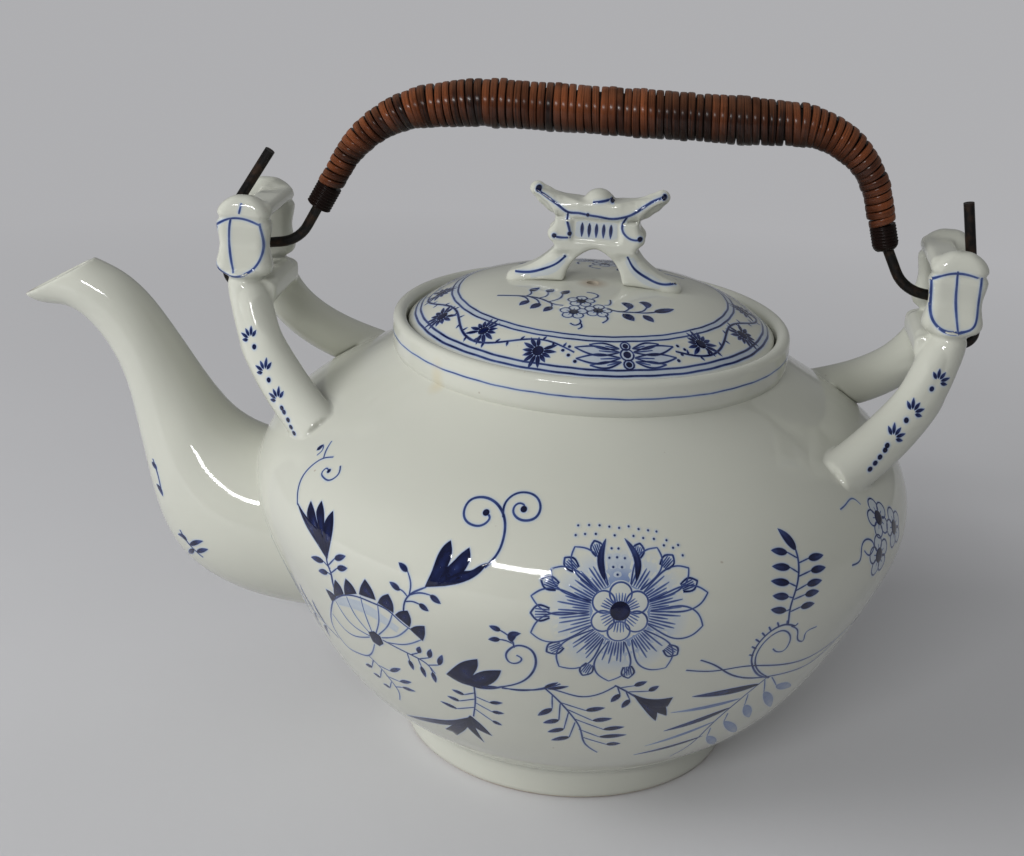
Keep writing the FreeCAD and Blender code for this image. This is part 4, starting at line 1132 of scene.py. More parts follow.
# Strokes on the lid, as kind, width and places (right, away)
LID_SPRAY = [
    ("stem", 0.45, [
        (-23.9, -15.5), (-18.8, -16.5), (-15.1, -17.3), (-11.2, -19.5), (-7.8, -22.2), (-6.1, -22.5),
    ]),
    ("leaf", 2.00, [(-15.5, -13.6), (-14.6, -11.8), (-13.6, -10.3)]),
    ("leaf", 2.00, [(-11.0, -14.0), (-10.5, -12.7), (-9.8, -11.2)]),
    ("leaf", 2.00, [(-7.1, -14.9), (-6.4, -13.4), (-5.6, -11.7)]),
    ("leaf", 2.00, [(-15.2, -19.8), (-16.3, -21.3), (-17.2, -22.7)]),
    ("leaf", 2.20, [(-12.2, -21.5), (-13.2, -23.4), (-14.2, -24.7)]),
    ("leaf", 2.00, [(-8.8, -23.5), (-9.7, -24.9), (-10.6, -26.3)]),
    ("stem", 0.30, [(-16.3, -16.8), (-15.4, -15.9), (-15.3, -13.6)]),
    ("stem", 0.30, [(-12.9, -18.3), (-11.1, -16.9), (-10.8, -14.0)]),
    ("stem", 0.30, [(-9.9, -20.5), (-7.4, -18.1), (-6.9, -14.9)]),
    ("stem", 0.30, [(-18.4, -16.6), (-16.2, -18.0), (-15.4, -19.8)]),
    ("stem", 0.30, [(-15.5, -17.3), (-13.0, -19.6), (-12.3, -21.5)]),
    ("stem", 0.30, [(-11.2, -19.5), (-9.2, -21.4), (-8.8, -23.5)]),
    ("stem", 0.45, [(5.3, -22.6), (8.1, -23.2), (11.6, -22.6), (15.1, -21.6), (17.7, -19.9)]),
    ("leaf", 2.40, [(8.6, -17.4), (10.2, -18.1), (10.9, -21.0)]),
    ("leaf", 2.40, [(13.1, -15.7), (14.6, -15.5), (15.3, -18.6)]),
    ("leaf", 2.60, [(9.5, -24.1), (10.9, -25.3), (12.5, -27.0)]),
    ("leaf", 2.20, [(14.6, -23.1), (16.0, -24.2), (17.4, -25.6)]),
    ("leaf", 2.20, [(17.3, -20.1), (19.4, -18.3), (22.1, -15.6)]),
    ("stem", 0.30, [(8.1, -23.2), (9.8, -22.6), (10.8, -20.4)]),
    ("stem", 0.30, [(12.3, -22.3), (14.2, -21.0), (15.2, -18.1)]),
    ("stem", 0.30, [(-0.8, -12.1), (1.1, -12.6), (2.2, -13.8), (1.9, -15.7), (1.0, -16.5)]),
    ("stem", 0.30, [(5.6, -16.4), (5.9, -18.5), (5.3, -20.2), (4.5, -20.4)]),
    ("stem", 0.30, [(-3.2, -31.6), (-2.0, -32.4), (-0.7, -31.2), (-1.1, -29.5)]),
    ("stem", 0.30, [(-0.7, -31.2), (-0.3, -33.2), (-1.0, -33.9)]),
    ("stem", 0.30, [(5.2, -26.2), (5.9, -28.0), (4.8, -30.2)]),
]
LID_BLOSSOMS = [(-1.7, -19.1), (-3.0, -25.9), (3.1, -24.1)]
# Strokes on the finial, lugs and spout, as kind, width and places (right, up)
PANEL_STROKES = (-3.8, -1.9, 0.0, 1.9, 3.8)
FINIAL = [
    ("stem", 0.55, [
        (-16.1, 156.6), (-13.0, 154.8), (-10.0, 153.0), (-7.7, 151.7), (-5.1, 151.7), (-2.7, 151.4),
        (0.6, 151.1), (3.4, 150.8), (6.2, 151.2), (8.7, 152.1), (11.6, 154.1), (14.2, 155.9),
        (16.9, 157.1),
    ]),
    ("stem", 0.50, [(-7.7, 151.5), (-7.8, 149.5), (-7.2, 147.4), (-6.8, 145.4)]),
    ("stem", 0.50, [(-11.0, 145.0), (-9.1, 144.8), (-6.8, 145.0)]),
    ("stem", 0.50, [(7.9, 151.6), (6.9, 149.8), (6.8, 148.2), (7.8, 146.6), (9.4, 145.7), (11.6, 145.7)]),
    ("wash", 4.6, [(-5.4, 147.3), (0.0, 147.2), (5.4, 147.4)]),
    ("wash", 2.6, [(-8.4, 139.0), (-10.2, 137.0), (-13.3, 135.3), (-16.8, 134.2)]),
    ("wash", 2.6, [(9.2, 140.2), (10.9, 137.5), (14.2, 135.2), (18.0, 133.8)]),
    *[("leaf", 0.80, [(right, 149.0), (right, 147.2), (right, 145.3)]) for right in PANEL_STROKES],
    ("stem", 0.50, [(-7.8, 139.6), (-9.9, 137.6), (-13.1, 135.9), (-16.7, 134.6), (-21.0, 134.1)]),
    ("stem", 0.50, [(8.7, 140.9), (10.4, 138.1), (13.9, 135.7), (18.0, 134.1), (21.9, 134.2)]),
    ("stem", 0.50, [(-1.3, 154.7), (1.1, 155.1), (2.9, 155.5), (3.7, 155.8)]),
    ("dot", 0.70, [(-16.0, 156.9)]),
    ("dot", 0.55, [(-11.0, 145.2)]),
    ("dot", 0.60, [(11.6, 145.9)]),
    ("dot", 0.60, [(17.0, 157.0)]),
    ("dot", 0.42, [(-2.5, 151.4)]),
    ("dot", 0.60, [(3.7, 155.4)]),
    ("dot", 0.50, [(-7.0, 146.0)]),
    ("dot", 0.45, [(21.9, 134.4)]),
    ("dot", 0.30, [(-7.9, 139.6)]),
]
LUG_SPOTS_LEFT = [
    (-88.6, 115.0), (-83.1, 108.2), (-78.3, 102.5), (-76.2, 100.1), (-74.8, 98.5),
    (-73.8, 96.9), (-72.8, 95.6),
]
LUG_LINES_LEFT = [
    ("stem", 0.55, [(-100.3, 143.1), (-96.1, 145.4), (-92.3, 145.6), (-87.9, 144.2)]),
    ("stem", 0.60, [
        (-99.8, 142.9), (-100.1, 132.1), (-97.0, 130.2), (-93.2, 130.4), (-90.0, 132.0), (-87.6, 135.9),
        (-87.2, 140.3), (-88.0, 144.6),
    ]),
    ("stem", 0.60, [(-95.8, 145.4), (-96.3, 138.2), (-95.0, 131.0)]),
    ("stem", 0.50, [(-93.4, 147.0), (-92.9, 149.6)]),
]
LUG_SPOTS_RIGHT = [
    (90.4, 118.9), (84.4, 111.9), (79.9, 106.5), (78.1, 103.9), (76.9, 102.4),
    (75.8, 101.1), (74.6, 99.8),
]
LUG_LINES_RIGHT = [
    ("stem", 0.55, [(85.7, 143.8), (90.0, 146.0), (94.4, 146.2), (98.3, 145.1)]),
    ("stem", 0.60, [
        (86.0, 144.4), (86.6, 138.6), (87.4, 134.2), (90.0, 131.6), (93.8, 131.1), (97.6, 132.3),
        (98.4, 137.2), (98.1, 145.6),
    ]),
    ("stem", 0.60, [(92.0, 146.8), (92.6, 139.4), (94.3, 130.9)]),
]
SPOUT = [
    ("stem", 0.40, [(-111.4, 54.3), (-109.4, 51.1), (-106.3, 48.3), (-104.5, 47.1)]),
    ("leaf", 1.40, [(-109.4, 51.1), (-110.6, 52.4), (-112.6, 52.1)]),
    ("leaf", 1.40, [(-108.5, 50.0), (-105.7, 52.3), (-103.6, 53.4)]),
    ("leaf", 1.40, [(-107.3, 49.1), (-110.1, 45.6)]),
    ("leaf", 1.40, [(-106.3, 48.3), (-103.9, 50.1), (-102.2, 51.0)]),
    ("stem", 0.40, [(-120.3, 73.4), (-118.5, 69.2), (-117.3, 63.7)]),
    ("leaf", 1.40, [(-120.8, 72.2), (-119.6, 71.5), (-118.8, 70.6)]),
    ("leaf", 1.40, [(-119.3, 65.9), (-118.0, 65.0), (-117.0, 63.2)]),
]
# Large flower: petals by angle, length and half spread, caps between them, dark crescents and dots
ASTER_PLACE = (16.8, 2.3)
ASTER_PETALS = [
    (268.0, 19.9, 19.0), (228.5, 21.0, 17.0), (311.0, 20.8, 18.0), (197.0, 22.2, 13.0),
    (349.0, 21.4, 15.0), (173.5, 21.9, 12.0), (10.5, 22.4, 12.0), (150.0, 20.2, 13.0),
    (32.0, 20.6, 12.5), (126.0, 20.4, 14.0), (60.0, 19.4, 14.0),
]
ASTER_TIPS = [
    (20.8, 20.6), (323.5, 19.4), (283.0, 19.2), (247.0, 19.6), (213.5, 20.4), (184.5, 21.4),
    (160.0, 20.8), (110.5, 19.6), (74.0, 18.6), (47.0, 19.8), (137.0, 19.4),
]
ASTER_HORNS = [
    [(-4.0, 8.0), (-5.2, 13.6), (-3.9, 19.2)],
    [(3.8, 8.0), (4.2, 13.6), (1.2, 19.4)],
]
ASTER_DOTS = [
    (-11.5, 22.7), (-8.5, 23.0), (-5.6, 23.1), (-2.9, 22.8), (-0.2, 22.5), (2.5, 23.0), (5.2, 22.2),
    (7.8, 21.8), (10.1, 21.4), (12.5, 18.8), (15.5, 17.3), (-12.0, 19.8), (-9.5, 20.3),
    (-6.6, 20.5), (-1.5, 20.3), (3.6, 20.2), (6.2, 19.6), (9.1, 19.3), (11.6, 17.4), (14.0, 16.6),
    (16.3, 14.4), (-2.4, 16.6), (-0.6, 16.6), (-3.0, 14.0), (-1.0, 14.2), (1.0, 14.0), (-2.0, 11.6),
    (0.2, 11.6), (-0.9, 9.6),
]
# Three small blossoms near the lug
BLOSSOM_PLACES = [(100.2, 10.5), (108.2, 5.1), (96.4, 1.8)]


# Blue brushwork

HAZE = 0.75
# Each rail of a stroke: share of its half width, reach beyond that, colour load and share of its lift
EDGE_RAILS = [(HAZE, 0.0, 0.0), (0.33, 0.10, 0.2), (0.10, 0.30, 0.5), (-0.06, 1.0, 1.0)]
LEFT_RAILS = [(-1.0, -beyond, load, lift) for beyond, load, lift in EDGE_RAILS]
RIGHT_RAILS = [(1.0, beyond, load, lift) for beyond, load, lift in EDGE_RAILS[::-1]]
THIN_RAILS = LEFT_RAILS + RIGHT_RAILS
MIDDLE_RAILS = [(-0.6, 0.0, 0.97, 1.0), (-0.1, 0.0, 0.88, 1.0), (0.5, 0.0, 0.93, 1.0)]
BROAD_RAILS = LEFT_RAILS + MIDDLE_RAILS + RIGHT_RAILS
BROAD_FROM = 1.2
# Lifts over the glaze: edges of a stroke, washes, lines, leaves and the spots on top of them
SKIN = 0.014
WASH = 0.03
FLOWER_WASH = 0.034
LINE = 0.05
RULE = 0.055
FINE = 0.06
LEAF = 0.065
SPOT = 0.07
EYE = 0.075


def away_from(place, way, reach):
    """The place a reach away from another, at an angle."""
    return (place[0] + reach * math.cos(way), place[1] + reach * math.sin(way))


def circle(place, radius, count):
    """Evenly spaced places round a middle."""
    return [away_from(place, turn, radius) for turn in np.linspace(0.0, 2 * math.pi, count + 1)[:-1]]


def drawn_round(outline):
    """A closed outline in fine steps, smooth between its sharp corners."""
    points = np.asarray(outline, float)
    ahead = np.roll(points, -1, axis=0) - points
    behind = points - np.roll(points, 1, axis=0)
    across = behind[:, 0] * ahead[:, 1] - behind[:, 1] * ahead[:, 0]
    turn = np.abs(np.arctan2(across, (behind * ahead).sum(axis=1)))
    corners = np.flatnonzero(turn > math.radians(48)).tolist() or [0]
    runs = []
    for first, last in zip(corners, corners[1:] + [corners[0] + len(points)]):
        run = points[np.arange(first, last + 1) % len(points)]
        runs.append(spline(run, max(4, int(run_length(run) / 0.4)))[:-1])
    return np.concatenate(runs)


class Brush:
    """Strokes laid on one surface and gathered into a single thin mesh."""

    def __init__(self, surface):
        self.surface = surface
        self.points, self.faces, self.loads = [], [], []
        self.count = 0

    def lay(self, grid, loads, lifts):
        """A grid of places (rows, rails, 2) with its colour loads and lifts."""
        rows, rails = grid.shape[:2]
        lifts = np.broadcast_to(lifts, (rows, rails)).reshape(-1)
        spots, found = self.surface(grid.reshape(-1, 2), lifts)
        index = np.arange(rows * rails).reshape(rows, rails)
        loops = [index[:-1, :-1], index[:-1, 1:], index[1:, 1:], index[1:, :-1]]
        loops = np.stack(loops, axis=-1).reshape(-1, 4)
        sound = found[loops].all(axis=1)
        corners = spots[loops]
        reach = np.linalg.norm(corners - np.roll(corners, 1, axis=1), axis=2).max(axis=1)
        flat = grid.reshape(-1, 2)[loops]
        plain = np.linalg.norm(flat - np.roll(flat, 1, axis=1), axis=2).max(axis=1)
        sound &= reach < 3.0 * plain + 0.6
        self.faces.append(loops[sound] + self.count)
        self.points.append(np.where(found[:, None], spots, 0.0))
        self.loads.append(np.asarray(loads, float).reshape(-1))
        self.count += rows * rails

    def ribbon(self, path, widths, tones, rails, lift, ground=0.0):
        """A stroke of varying width along stepped places, feathered at its sides and ends."""
        path = np.asarray(path, float)
        slope = headings(path)
        side = np.stack([-slope[:, 1], slope[:, 0]], axis=1)
        half = np.maximum(np.asarray(widths, float) / 2, 0.02)
        columns, loads = [], []
        for share, beyond, load, _ in rails:
            columns.append(path + side * (share * half + beyond)[:, None])
            loads.append(np.maximum(tones * load, ground))
        grid = np.stack(columns, axis=1)
        loads = np.stack(loads, axis=1)
        lifts = np.array([[SKIN + (lift - SKIN) * share for _, _, _, share in rails]] * len(path))
        before = grid[:1] - slope[0] * 0.22
        after = grid[-1:] + slope[-1] * 0.22
        blank = np.full((1, len(rails)), ground)
        low = np.full((1, len(rails)), SKIN)
        lifts = np.concatenate([low, lifts, low])
        self.lay(np.concatenate([before, grid, after]), np.concatenate([blank, loads, blank]), lifts)

    def stem(self, width, tone, points, lift=LINE, ground=0.0, swell=0.25):
        """A line that wavers in width and pales along its way."""
        path = spline(points, max(5, int(run_length(points) / 0.55)))
        share = np.linspace(0.0, 1.0, len(path))
        widths = width * (1.0 - swell + swell * np.sin(math.pi * share) ** 0.5)
        widths = widths * (1.0 + 0.10 * np.sin(9.0 * share + 7.0 * points[0][0]))
        tones = tone * (1.0 - 0.16 * share)
        rails = THIN_RAILS if width < BROAD_FROM else BROAD_RAILS
        self.ribbon(path, widths, tones, rails, lift, ground)

    def leaf(self, width, tone, points, lift=FINE):
        """A pressed stroke, pointed at both ends and fullest before the middle."""
        path = spline(points, max(9, int(run_length(points) / 0.4)))
        share = np.linspace(0.0, 1.0, len(path))
        full = np.sin(math.pi * share ** 0.85) ** 0.75
        tones = tone * (0.88 + 0.12 * np.cos(math.pi * share))
        self.ribbon(path, width * full, tones, BROAD_RAILS, lift)

    def dot(self, radius, tone, place, lift=LEAF, ground=0.0):
        turns = np.linspace(0.0, 2 * math.pi, 21)
        ring = np.stack([np.cos(turns), np.sin(turns)], axis=1)
        rows = [(0.02, 0.94, 1.0), (0.55 * radius, 0.95, 1.0), (radius, 1.0, 1.0)]
        rows += [(radius + beyond, load, share) for beyond, load, share in EDGE_RAILS[2::-1]]
        grid = np.array([np.asarray(place) + ring * rim for rim, _, _ in rows])
        loads = np.array([[max(tone * load, ground)] * len(turns) for _, load, _ in rows])
        self.lay(grid, loads, np.array([[SKIN + (lift - SKIN) * share] for _, _, share in rows]))

    def blot(self, outline):
        """A patch of colour filling an outline, paler at its heart and hazy round its rim."""
        rim = drawn_round(outline)
        slope = np.roll(rim, -1, axis=0) - np.roll(rim, 1, axis=0)
        out = np.stack([slope[:, 1], -slope[:, 0]], axis=1) / np.linalg.norm(slope, axis=1)[:, None]
        heart = rim.mean(axis=0)
        if (out * (rim - heart)).sum() < 0:
            out = -out
        grid = [heart + share * (rim - heart) for share in (0.02, 0.4, 0.75, 1.0)]
        grid += [rim + beyond * out for beyond, _, _ in EDGE_RAILS[2::-1]]
        loads = [0.80, 0.87, 0.96, 1.0] + [load for _, load, _ in EDGE_RAILS[2::-1]]
        lifts = [1.0] * 4 + [share for _, _, share in EDGE_RAILS[2::-1]]
        grid = np.array([np.concatenate([row, row[:1]]) for row in grid])
        loads = np.array(loads)[:, None] * np.ones((1, grid.shape[1]))
        self.lay(grid, loads, SKIN + (LEAF - SKIN) * np.array(lifts)[:, None])

    def outline(self, width, tone, points, lift):
        self.stem(width, tone, list(points) + [points[0]], lift, 0.0, 0.0)

    def ring(self, width, tone, level, span, lift=LINE):
        """A line at one level right round a turned surface."""
        along = np.linspace(0.0, span, 241)
        wobble = level + 0.05 * np.sin(along * 0.31) + 0.04 * np.sin(along * 0.83)
        wobble[-1] = wobble[0]
        rails = THIN_RAILS if width < BROAD_FROM else BROAD_RAILS
        offsets = [share * width / 2 + beyond for share, beyond, _, _ in rails]
        columns = [np.stack([along, wobble + offset], axis=1) for offset in offsets]
        drift = tone * (0.92 + 0.08 * np.sin(along * 0.17))
        loads = np.stack([drift * load for _, _, load, _ in rails], axis=1)
        lifts = np.array([[SKIN + (lift - SKIN) * share for _, _, _, share in rails]])
        self.lay(np.stack(columns, axis=1), loads, lifts)

    def tuft(self, place, size, lean):
        """A small fan of pressed strokes about a dark heart."""
        count, spread = 12, 4.9
        for step in range(count):
            way = lean + spread * (step / (count - 1) - 0.5)
            long = size * (0.86 + 0.14 * math.cos(5.0 * step))
            stroke = [away_from(place, way, 0.26 * size), away_from(place, way, long)]
            self.leaf(0.19 * size, 1.0, stroke)
        self.dot(0.27 * size, 1.0, place, EYE)

    def small_flower(self, place, size):
        """Five round petals about a dark eye."""
        for step in range(5):
            way = math.pi / 2 + 2 * math.pi * step / 5
            hub = away_from(place, way, 0.62 * size)
            self.dot(0.38 * size, 0.14, hub, WASH)
            self.outline(0.32, 0.848, circle(hub, 0.40 * size, 10), LINE)
            vein = [away_from(place, way, 0.30 * size), away_from(place, way, 0.56 * size)]
            self.stem(0.22, 0.7, vein, FINE, 0.12)
        self.dot(0.36 * size, 1.0, place, EYE)

    def petal(self, at, way, long, half):
        """One pointed petal in outline, with strokes running out from its base."""
        for side in (-1, 1):
            edge = [
                at(7.6, way + side * 0.80 * half),
                at(0.55 * long, way + side * half),
                at(0.76 * long, way + side * 0.93 * half),
                at(0.91 * long, way + side * 0.52 * half),
                at(long, way),
            ]
            self.stem(0.36, 0.72, edge, RULE)
        count = max(3, int(half * 0.42))
        for step in range(count):
            slant = (2 * step / (count - 1) - 1) * 0.70 * half
            end = (0.50 + 0.20 * abs(math.sin(1.9 * step + way))) * long
            self.stem(0.40, 0.66, [at(7.4, way + slant), at(end, way + slant * 0.92)], FINE, 0.08, 0.6)

    def aster(self, place):
        """The large open flower: pointed petals over a pale wash, a ring of small ones and a dark eye."""
        x, y = place

        def at(radius, degrees):
            way = math.radians(degrees)
            return spot(radius * math.cos(way), radius * math.sin(way))

        def spot(right, up):
            return (x + 0.95 * right, y + up * (0.87 if up > 0.0 else 1.10))

        turns = np.linspace(0.0, 2 * math.pi, 61)
        ring = np.stack([np.cos(turns), np.sin(turns)], axis=1)
        rims = [(0.02, 0.30), (7.0, 0.37), (8.6, 0.33), (11.0, 0.24), (14.0, 0.13), (17.5, 0.01)]
        grid = np.array([[spot(*(rim * side)) for side in ring] for rim, _ in rims])
        loads = np.array([[load] * len(turns) for _, load in rims])
        self.lay(grid, loads, np.array([[FLOWER_WASH]] * len(rims)))
        for way, long in ASTER_TIPS:
            for side in (-1, 1):
                cap = [(0.80, 3.6), (0.93, 5.0), (1.01, 0.0)]
                cap = [at(share * long, way + side * spread) for share, spread in cap]
                self.stem(0.40, 0.86, cap, LINE, 0.0, 0.0)
            for slant in (-3.0, -1.0, 1.0, 3.0):
                hatch = [at(0.80 * long, way + 0.8 * slant), at(0.955 * long, way + 0.9 * slant)]
                self.stem(0.28, 0.76, hatch, LINE, 0.14)
        for way, long, half in ASTER_PETALS:
            self.petal(at, way, long, half)
        for step in range(6):
            way = 60.0 * step + 30.0
            hub = at(4.7, way)
            self.dot(2.5, 0.05, hub, 0.045, 0.05)
            self.outline(0.36, 0.66, circle(hub, 2.6, 16), LEAF)
            for slant in (-20.0, -7.0, 7.0, 20.0):
                vein = [at(2.3, way + slant), at(4.9, way + 0.7 * slant)]
                self.stem(0.30, 0.62, vein, 0.066, 0.05, 0.6)
        self.dot(2.3, 1.0, place, 0.08)
        for crescent in ASTER_HORNS:
            self.leaf(1.6, 1.0, [spot(right, up) for right, up in crescent], SPOT)
        for right, up in ASTER_DOTS:
            over_wash = math.hypot(right, up) < 15.0
            self.dot(0.22, 0.80, spot(right, up), SPOT, 0.16 if over_wash else 0.0)

    def piece(self, name, body, glaze):
        """All the strokes as one piece of the glaze."""
        points = np.concatenate(self.points)
        faces = np.concatenate(self.faces)
        loads = np.concatenate(self.loads)
        used = np.unique(faces)
        fresh = np.zeros(len(points), int)
        fresh[used] = np.arange(len(used))
        mesh = plain_mesh(name, points[used] * MM, fresh[faces].tolist())
        dress(name, mesh, glaze, body)
        paint(mesh, "cobalt", loads[used])


def about_axis(reach, way, height):
    """Spots at a reach and an angle from the front, all of them found."""
    spots = np.stack([reach * np.sin(way), -reach * np.cos(way), height], axis=1)
    return spots, np.ones(len(spots), bool)


def on_body(turn):
    """Places (round, up) on the belly, in millimetres from its front."""
    slope = headings(body_curve)

    def surface(places, lift):
        run = np.clip(places[:, 1] + belly_run, 0.0, body_run[-1])
        radius = np.interp(run, body_run, body_curve[:, 0])
        height = np.interp(run, body_run, body_curve[:, 1])
        out = np.interp(run, body_run, slope[:, 1])
        rise = -np.interp(run, body_run, slope[:, 0])
        way = places[:, 0] / BELLY_RADIUS + turn
        return about_axis(radius + lift * out, way, height + lift * rise)
    return surface


def on_collar(places, lift):
    """Places (round, level) on the collar."""
    return about_axis(COLLAR_RADIUS + lift, places[:, 0] / COLLAR_RADIUS, places[:, 1])


def on_crown(radius, lift):
    """Reach and height of places on the lid's dome, lifted off it."""
    ordered = crown_curve[::-1]
    slope = headings(ordered)
    height = np.interp(radius, ordered[:, 0], ordered[:, 1])
    out = -np.interp(radius, ordered[:, 0], slope[:, 1])
    rise = np.interp(radius, ordered[:, 0], slope[:, 0])
    return radius + lift * out, height + lift * rise


BORDER_RADIUS = 42.0
# Lotus petals to each side: level at base, middle and tip, reach and half width
LOTUS_PETALS = [
    (40.2, 39.5, 39.2, 9.5, 0.9), (41.3, 41.0, 40.4, 13.2, 1.35),
    (42.9, 43.3, 43.6, 12.4, 1.3), (44.0, 44.9, 45.1, 9.0, 0.8),
]
# Ringed eyes and outlying dots of a lotus
LOTUS_EYES = [(39.4, 1.25), (42.0, 1.65), (44.7, 1.2)]
LOTUS_DOTS = [(12.6, 44.4), (14.4, 42.9), (14.6, 40.4), (16.0, 41.7)]


def on_border(places, lift):
    """Places (round, out) on the lid's border."""
    reach, height = on_crown(places[:, 1], lift)
    return about_axis(reach, places[:, 0] / BORDER_RADIUS, height)


def on_lid_plan(side):
    """Places (right, away) on the lid seen from above, for its front or its back."""
    def surface(places, lift):
        radius = np.maximum(np.hypot(places[:, 0], places[:, 1]), 1e-6)
        reach, height = on_crown(radius, lift)
        share = side * reach / radius
        spots = np.stack([places[:, 0] * share, places[:, 1] * share, height], axis=1)
        return spots, np.ones(len(spots), bool)
    return surface


def seen_on(piece, side):
    """Places (right, up) on a moulded piece seen from its front or its back."""
    mesh = piece.data
    corners = [vertex.co for vertex in mesh.vertices]
    tree = BVHTree.FromPolygons(corners, [face.vertices for face in mesh.polygons])

    def surface(places, lift):
        spots, found = [], []
        for (right, up), rise in zip(places, lift):
            start = Vector((right * MM, -side * 0.2, up * MM))
            spot, normal, _, _ = tree.ray_cast(start, Vector((0.0, side, 0.0)))
            found.append(spot is not None)
            spots.append((spot + normal * (rise * MM)) / MM if spot else (0.0, 0.0, 0.0))
        return np.array([tuple(spot) for spot in spots]), np.array(found)
    return surface


def brush_body(turn, name, glaze):
    """Flowers, leaves and tendrils round one face of the belly."""
    brush = Brush(on_body(turn))
    for width, tone, points in STEMS:
        wash = width > 2.0
        brush.stem(width if wash else 0.82 * width, 0.96 * tone, points, WASH if wash else LINE)
    for width, tone, points in LEAVES:
        brush.leaf(width, tone, points, LEAF)
    for outline in BLOTS:
        brush.blot(outline)
    for radius, right, up in DOTS:
        brush.dot(radius, 1.0, (right, up))
    brush.aster(ASTER_PLACE)
    for place in BLOSSOM_PLACES:
        brush.small_flower(place, 5.2)
    brush.piece(name, "pot", glaze)


def brush_collar(glaze):
    """One fine line round the collar."""
    brush = Brush(on_collar)
    brush.ring(0.34, 0.60, 118.4, 2 * math.pi * COLLAR_RADIUS)
    brush.piece("collar_line", "pot", glaze)


# Border, in degrees: the lotus from the front, and the tufts from the lotus
LOTUS_TURN = 16.5
FIRST_TUFT = 30.0
TUFT_STEP = 24.0
# Reaches of the border's two double rings, and of the vine between them
RINGS = ((36.28, 37.88), (46.13, 47.52))
VINE_REACH = 41.9


def lotus(brush, middle):
    """Three ringed eyes one above another between pairs of long pointed petals."""
    for level, size in LOTUS_EYES:
        brush.outline(0.34, 0.9, circle((middle, level), size, 12), FINE)
        brush.dot(0.55 * size, 1.0, (middle, level), SPOT)
    for side in (-1, 1):
        for base, belly, tip, reach, bulge in LOTUS_PETALS:
            start = middle + side * 1.8
            end = middle + side * reach
            half = start + 0.5 * (end - start)
            brush.leaf(1.7 * bulge, 0.22, [(start, base), (half, belly), (end, tip)], WASH)
            for side_bulge in (bulge, -bulge):
                brush.stem(0.44, 0.88, [(start, base), (half, belly + side_bulge), (end, tip)])
            brush.stem(0.34, 0.75, [(start, base), (start + 0.45 * (end - start), belly)], FINE, 0.1)
        for offset, level in LOTUS_DOTS:
            brush.dot(0.36, 0.95, (middle + side * offset, level))


def brush_lid(glaze):
    """Ruled rings, a running border and a spray before and behind the finial."""
    brush = Brush(on_border)
    round_trip = 2 * math.pi * BORDER_RADIUS
    for low, high in RINGS:
        brush.ring(high - low + 0.4, 0.20, (low + high) / 2, round_trip, WASH)
        for reach in (low, high):
            brush.ring(0.42, 0.82, reach, round_trip, RULE)
    degree = round_trip / 360.0
    for repeat in range(2):
        middle = (180.0 * repeat + LOTUS_TURN) * degree
        lotus(brush, middle)
        vine = []
        for away in np.arange(18.0, 164.0, 4.0):
            wave = math.cos(math.pi * (away - FIRST_TUFT) / TUFT_STEP)
            vine.append((middle + away * degree, VINE_REACH + 2.5 * wave))
        brush.stem(0.50, 0.88, vine)
        for step, (x, y) in enumerate(vine[1:-1]):
            side = 1 if step % 2 else -1
            brush.leaf(0.55, 0.95, [(x, y), (x + 0.5, y + side * 1.3)])
        for index in range(6):
            lean = 1 if index % 2 else -1
            place = (middle + (FIRST_TUFT + TUFT_STEP * index) * degree, VINE_REACH + 0.9 * lean)
            brush.tuft(place, 4.9, lean * math.pi / 2 + 0.35)
    sprays = []
    for side in (1, -1):
        spray = Brush(on_lid_plan(side))
        for kind, size, points in LID_SPRAY:
            if kind == "stem":
                spray.stem(size + 0.08, 0.9, points)
            else:
                spray.leaf(size, 1.0, points)
        for place in LID_BLOSSOMS:
            spray.small_flower(place, 3.5)
        sprays.append(spray)
    gathered([brush] + sprays).piece("lid_flowers", "lid", glaze)


def gathered(brushes):
    """Several brushes' strokes as one."""
    whole = brushes[0]
    for brush in brushes[1:]:
        whole.faces += [faces + whole.count for faces in brush.faces]
        whole.points += brush.points
        whole.loads += brush.loads
        whole.count += brush.count
    return whole


def stroke_list(brush, strokes, tone):
    """Strokes from a table, with one load of colour for its lines."""
    for kind, size, points in strokes:
        if kind == "stem":
            brush.stem(size, tone, points, FINE)
        elif kind == "leaf":
            brush.leaf(size, 1.0, points, LEAF)
        elif kind == "wash":
            brush.stem(size, 0.12, points, WASH)
        elif kind == "dot":
            brush.dot(size, 1.0, points[0], SPOT)


def both_faces(piece, draw, name, body, glaze):
    """The same strokes on the front and the back of a moulded piece."""
    brushes = [Brush(seen_on(piece, side)) for side in (1, -1)]
    for brush in brushes:
        draw(brush)
    gathered(brushes).piece(name, body, glaze)


def brush_finial(finial, glaze):
    both_faces(finial, lambda brush: stroke_list(brush, FINIAL, 0.78), "finial_lines", "lid", glaze)


def brush_spout(spout, glaze):
    both_faces(spout, lambda brush: stroke_list(brush, SPOUT, 0.85), "spout_sprigs", "pot", glaze)


# Strokes of a fan on a strut: slant and length
FAN = [(-1.0, 2.7), (-0.52, 3.2), (0.0, 2.9), (0.52, 3.2), (1.0, 2.7)]
FANS = 3


def brush_lug(lug, spots, lines, name, glaze):
    """Panel lines on the heads, and fans and dots running down the struts."""
    fall = np.array(spots[FANS - 1]) - np.array(spots[0])
    down = math.atan2(fall[1], fall[0])

    def draw(brush):
        for spot in spots[:FANS]:
            for slant, long in FAN:
                way = down + slant * 1.2 + math.pi
                brush.leaf(0.78, 1.0, [away_from(spot, way, 0.9), away_from(spot, way, long)], LEAF)
            brush.dot(0.55, 1.0, away_from(spot, down, 2.1))
        for spot in spots[FANS:]:
            brush.dot(0.55, 1.0, spot)
        stroke_list(brush, lines, 0.66)

    both_faces(lug, draw, name, "pot", glaze)


# Stage, light and camera

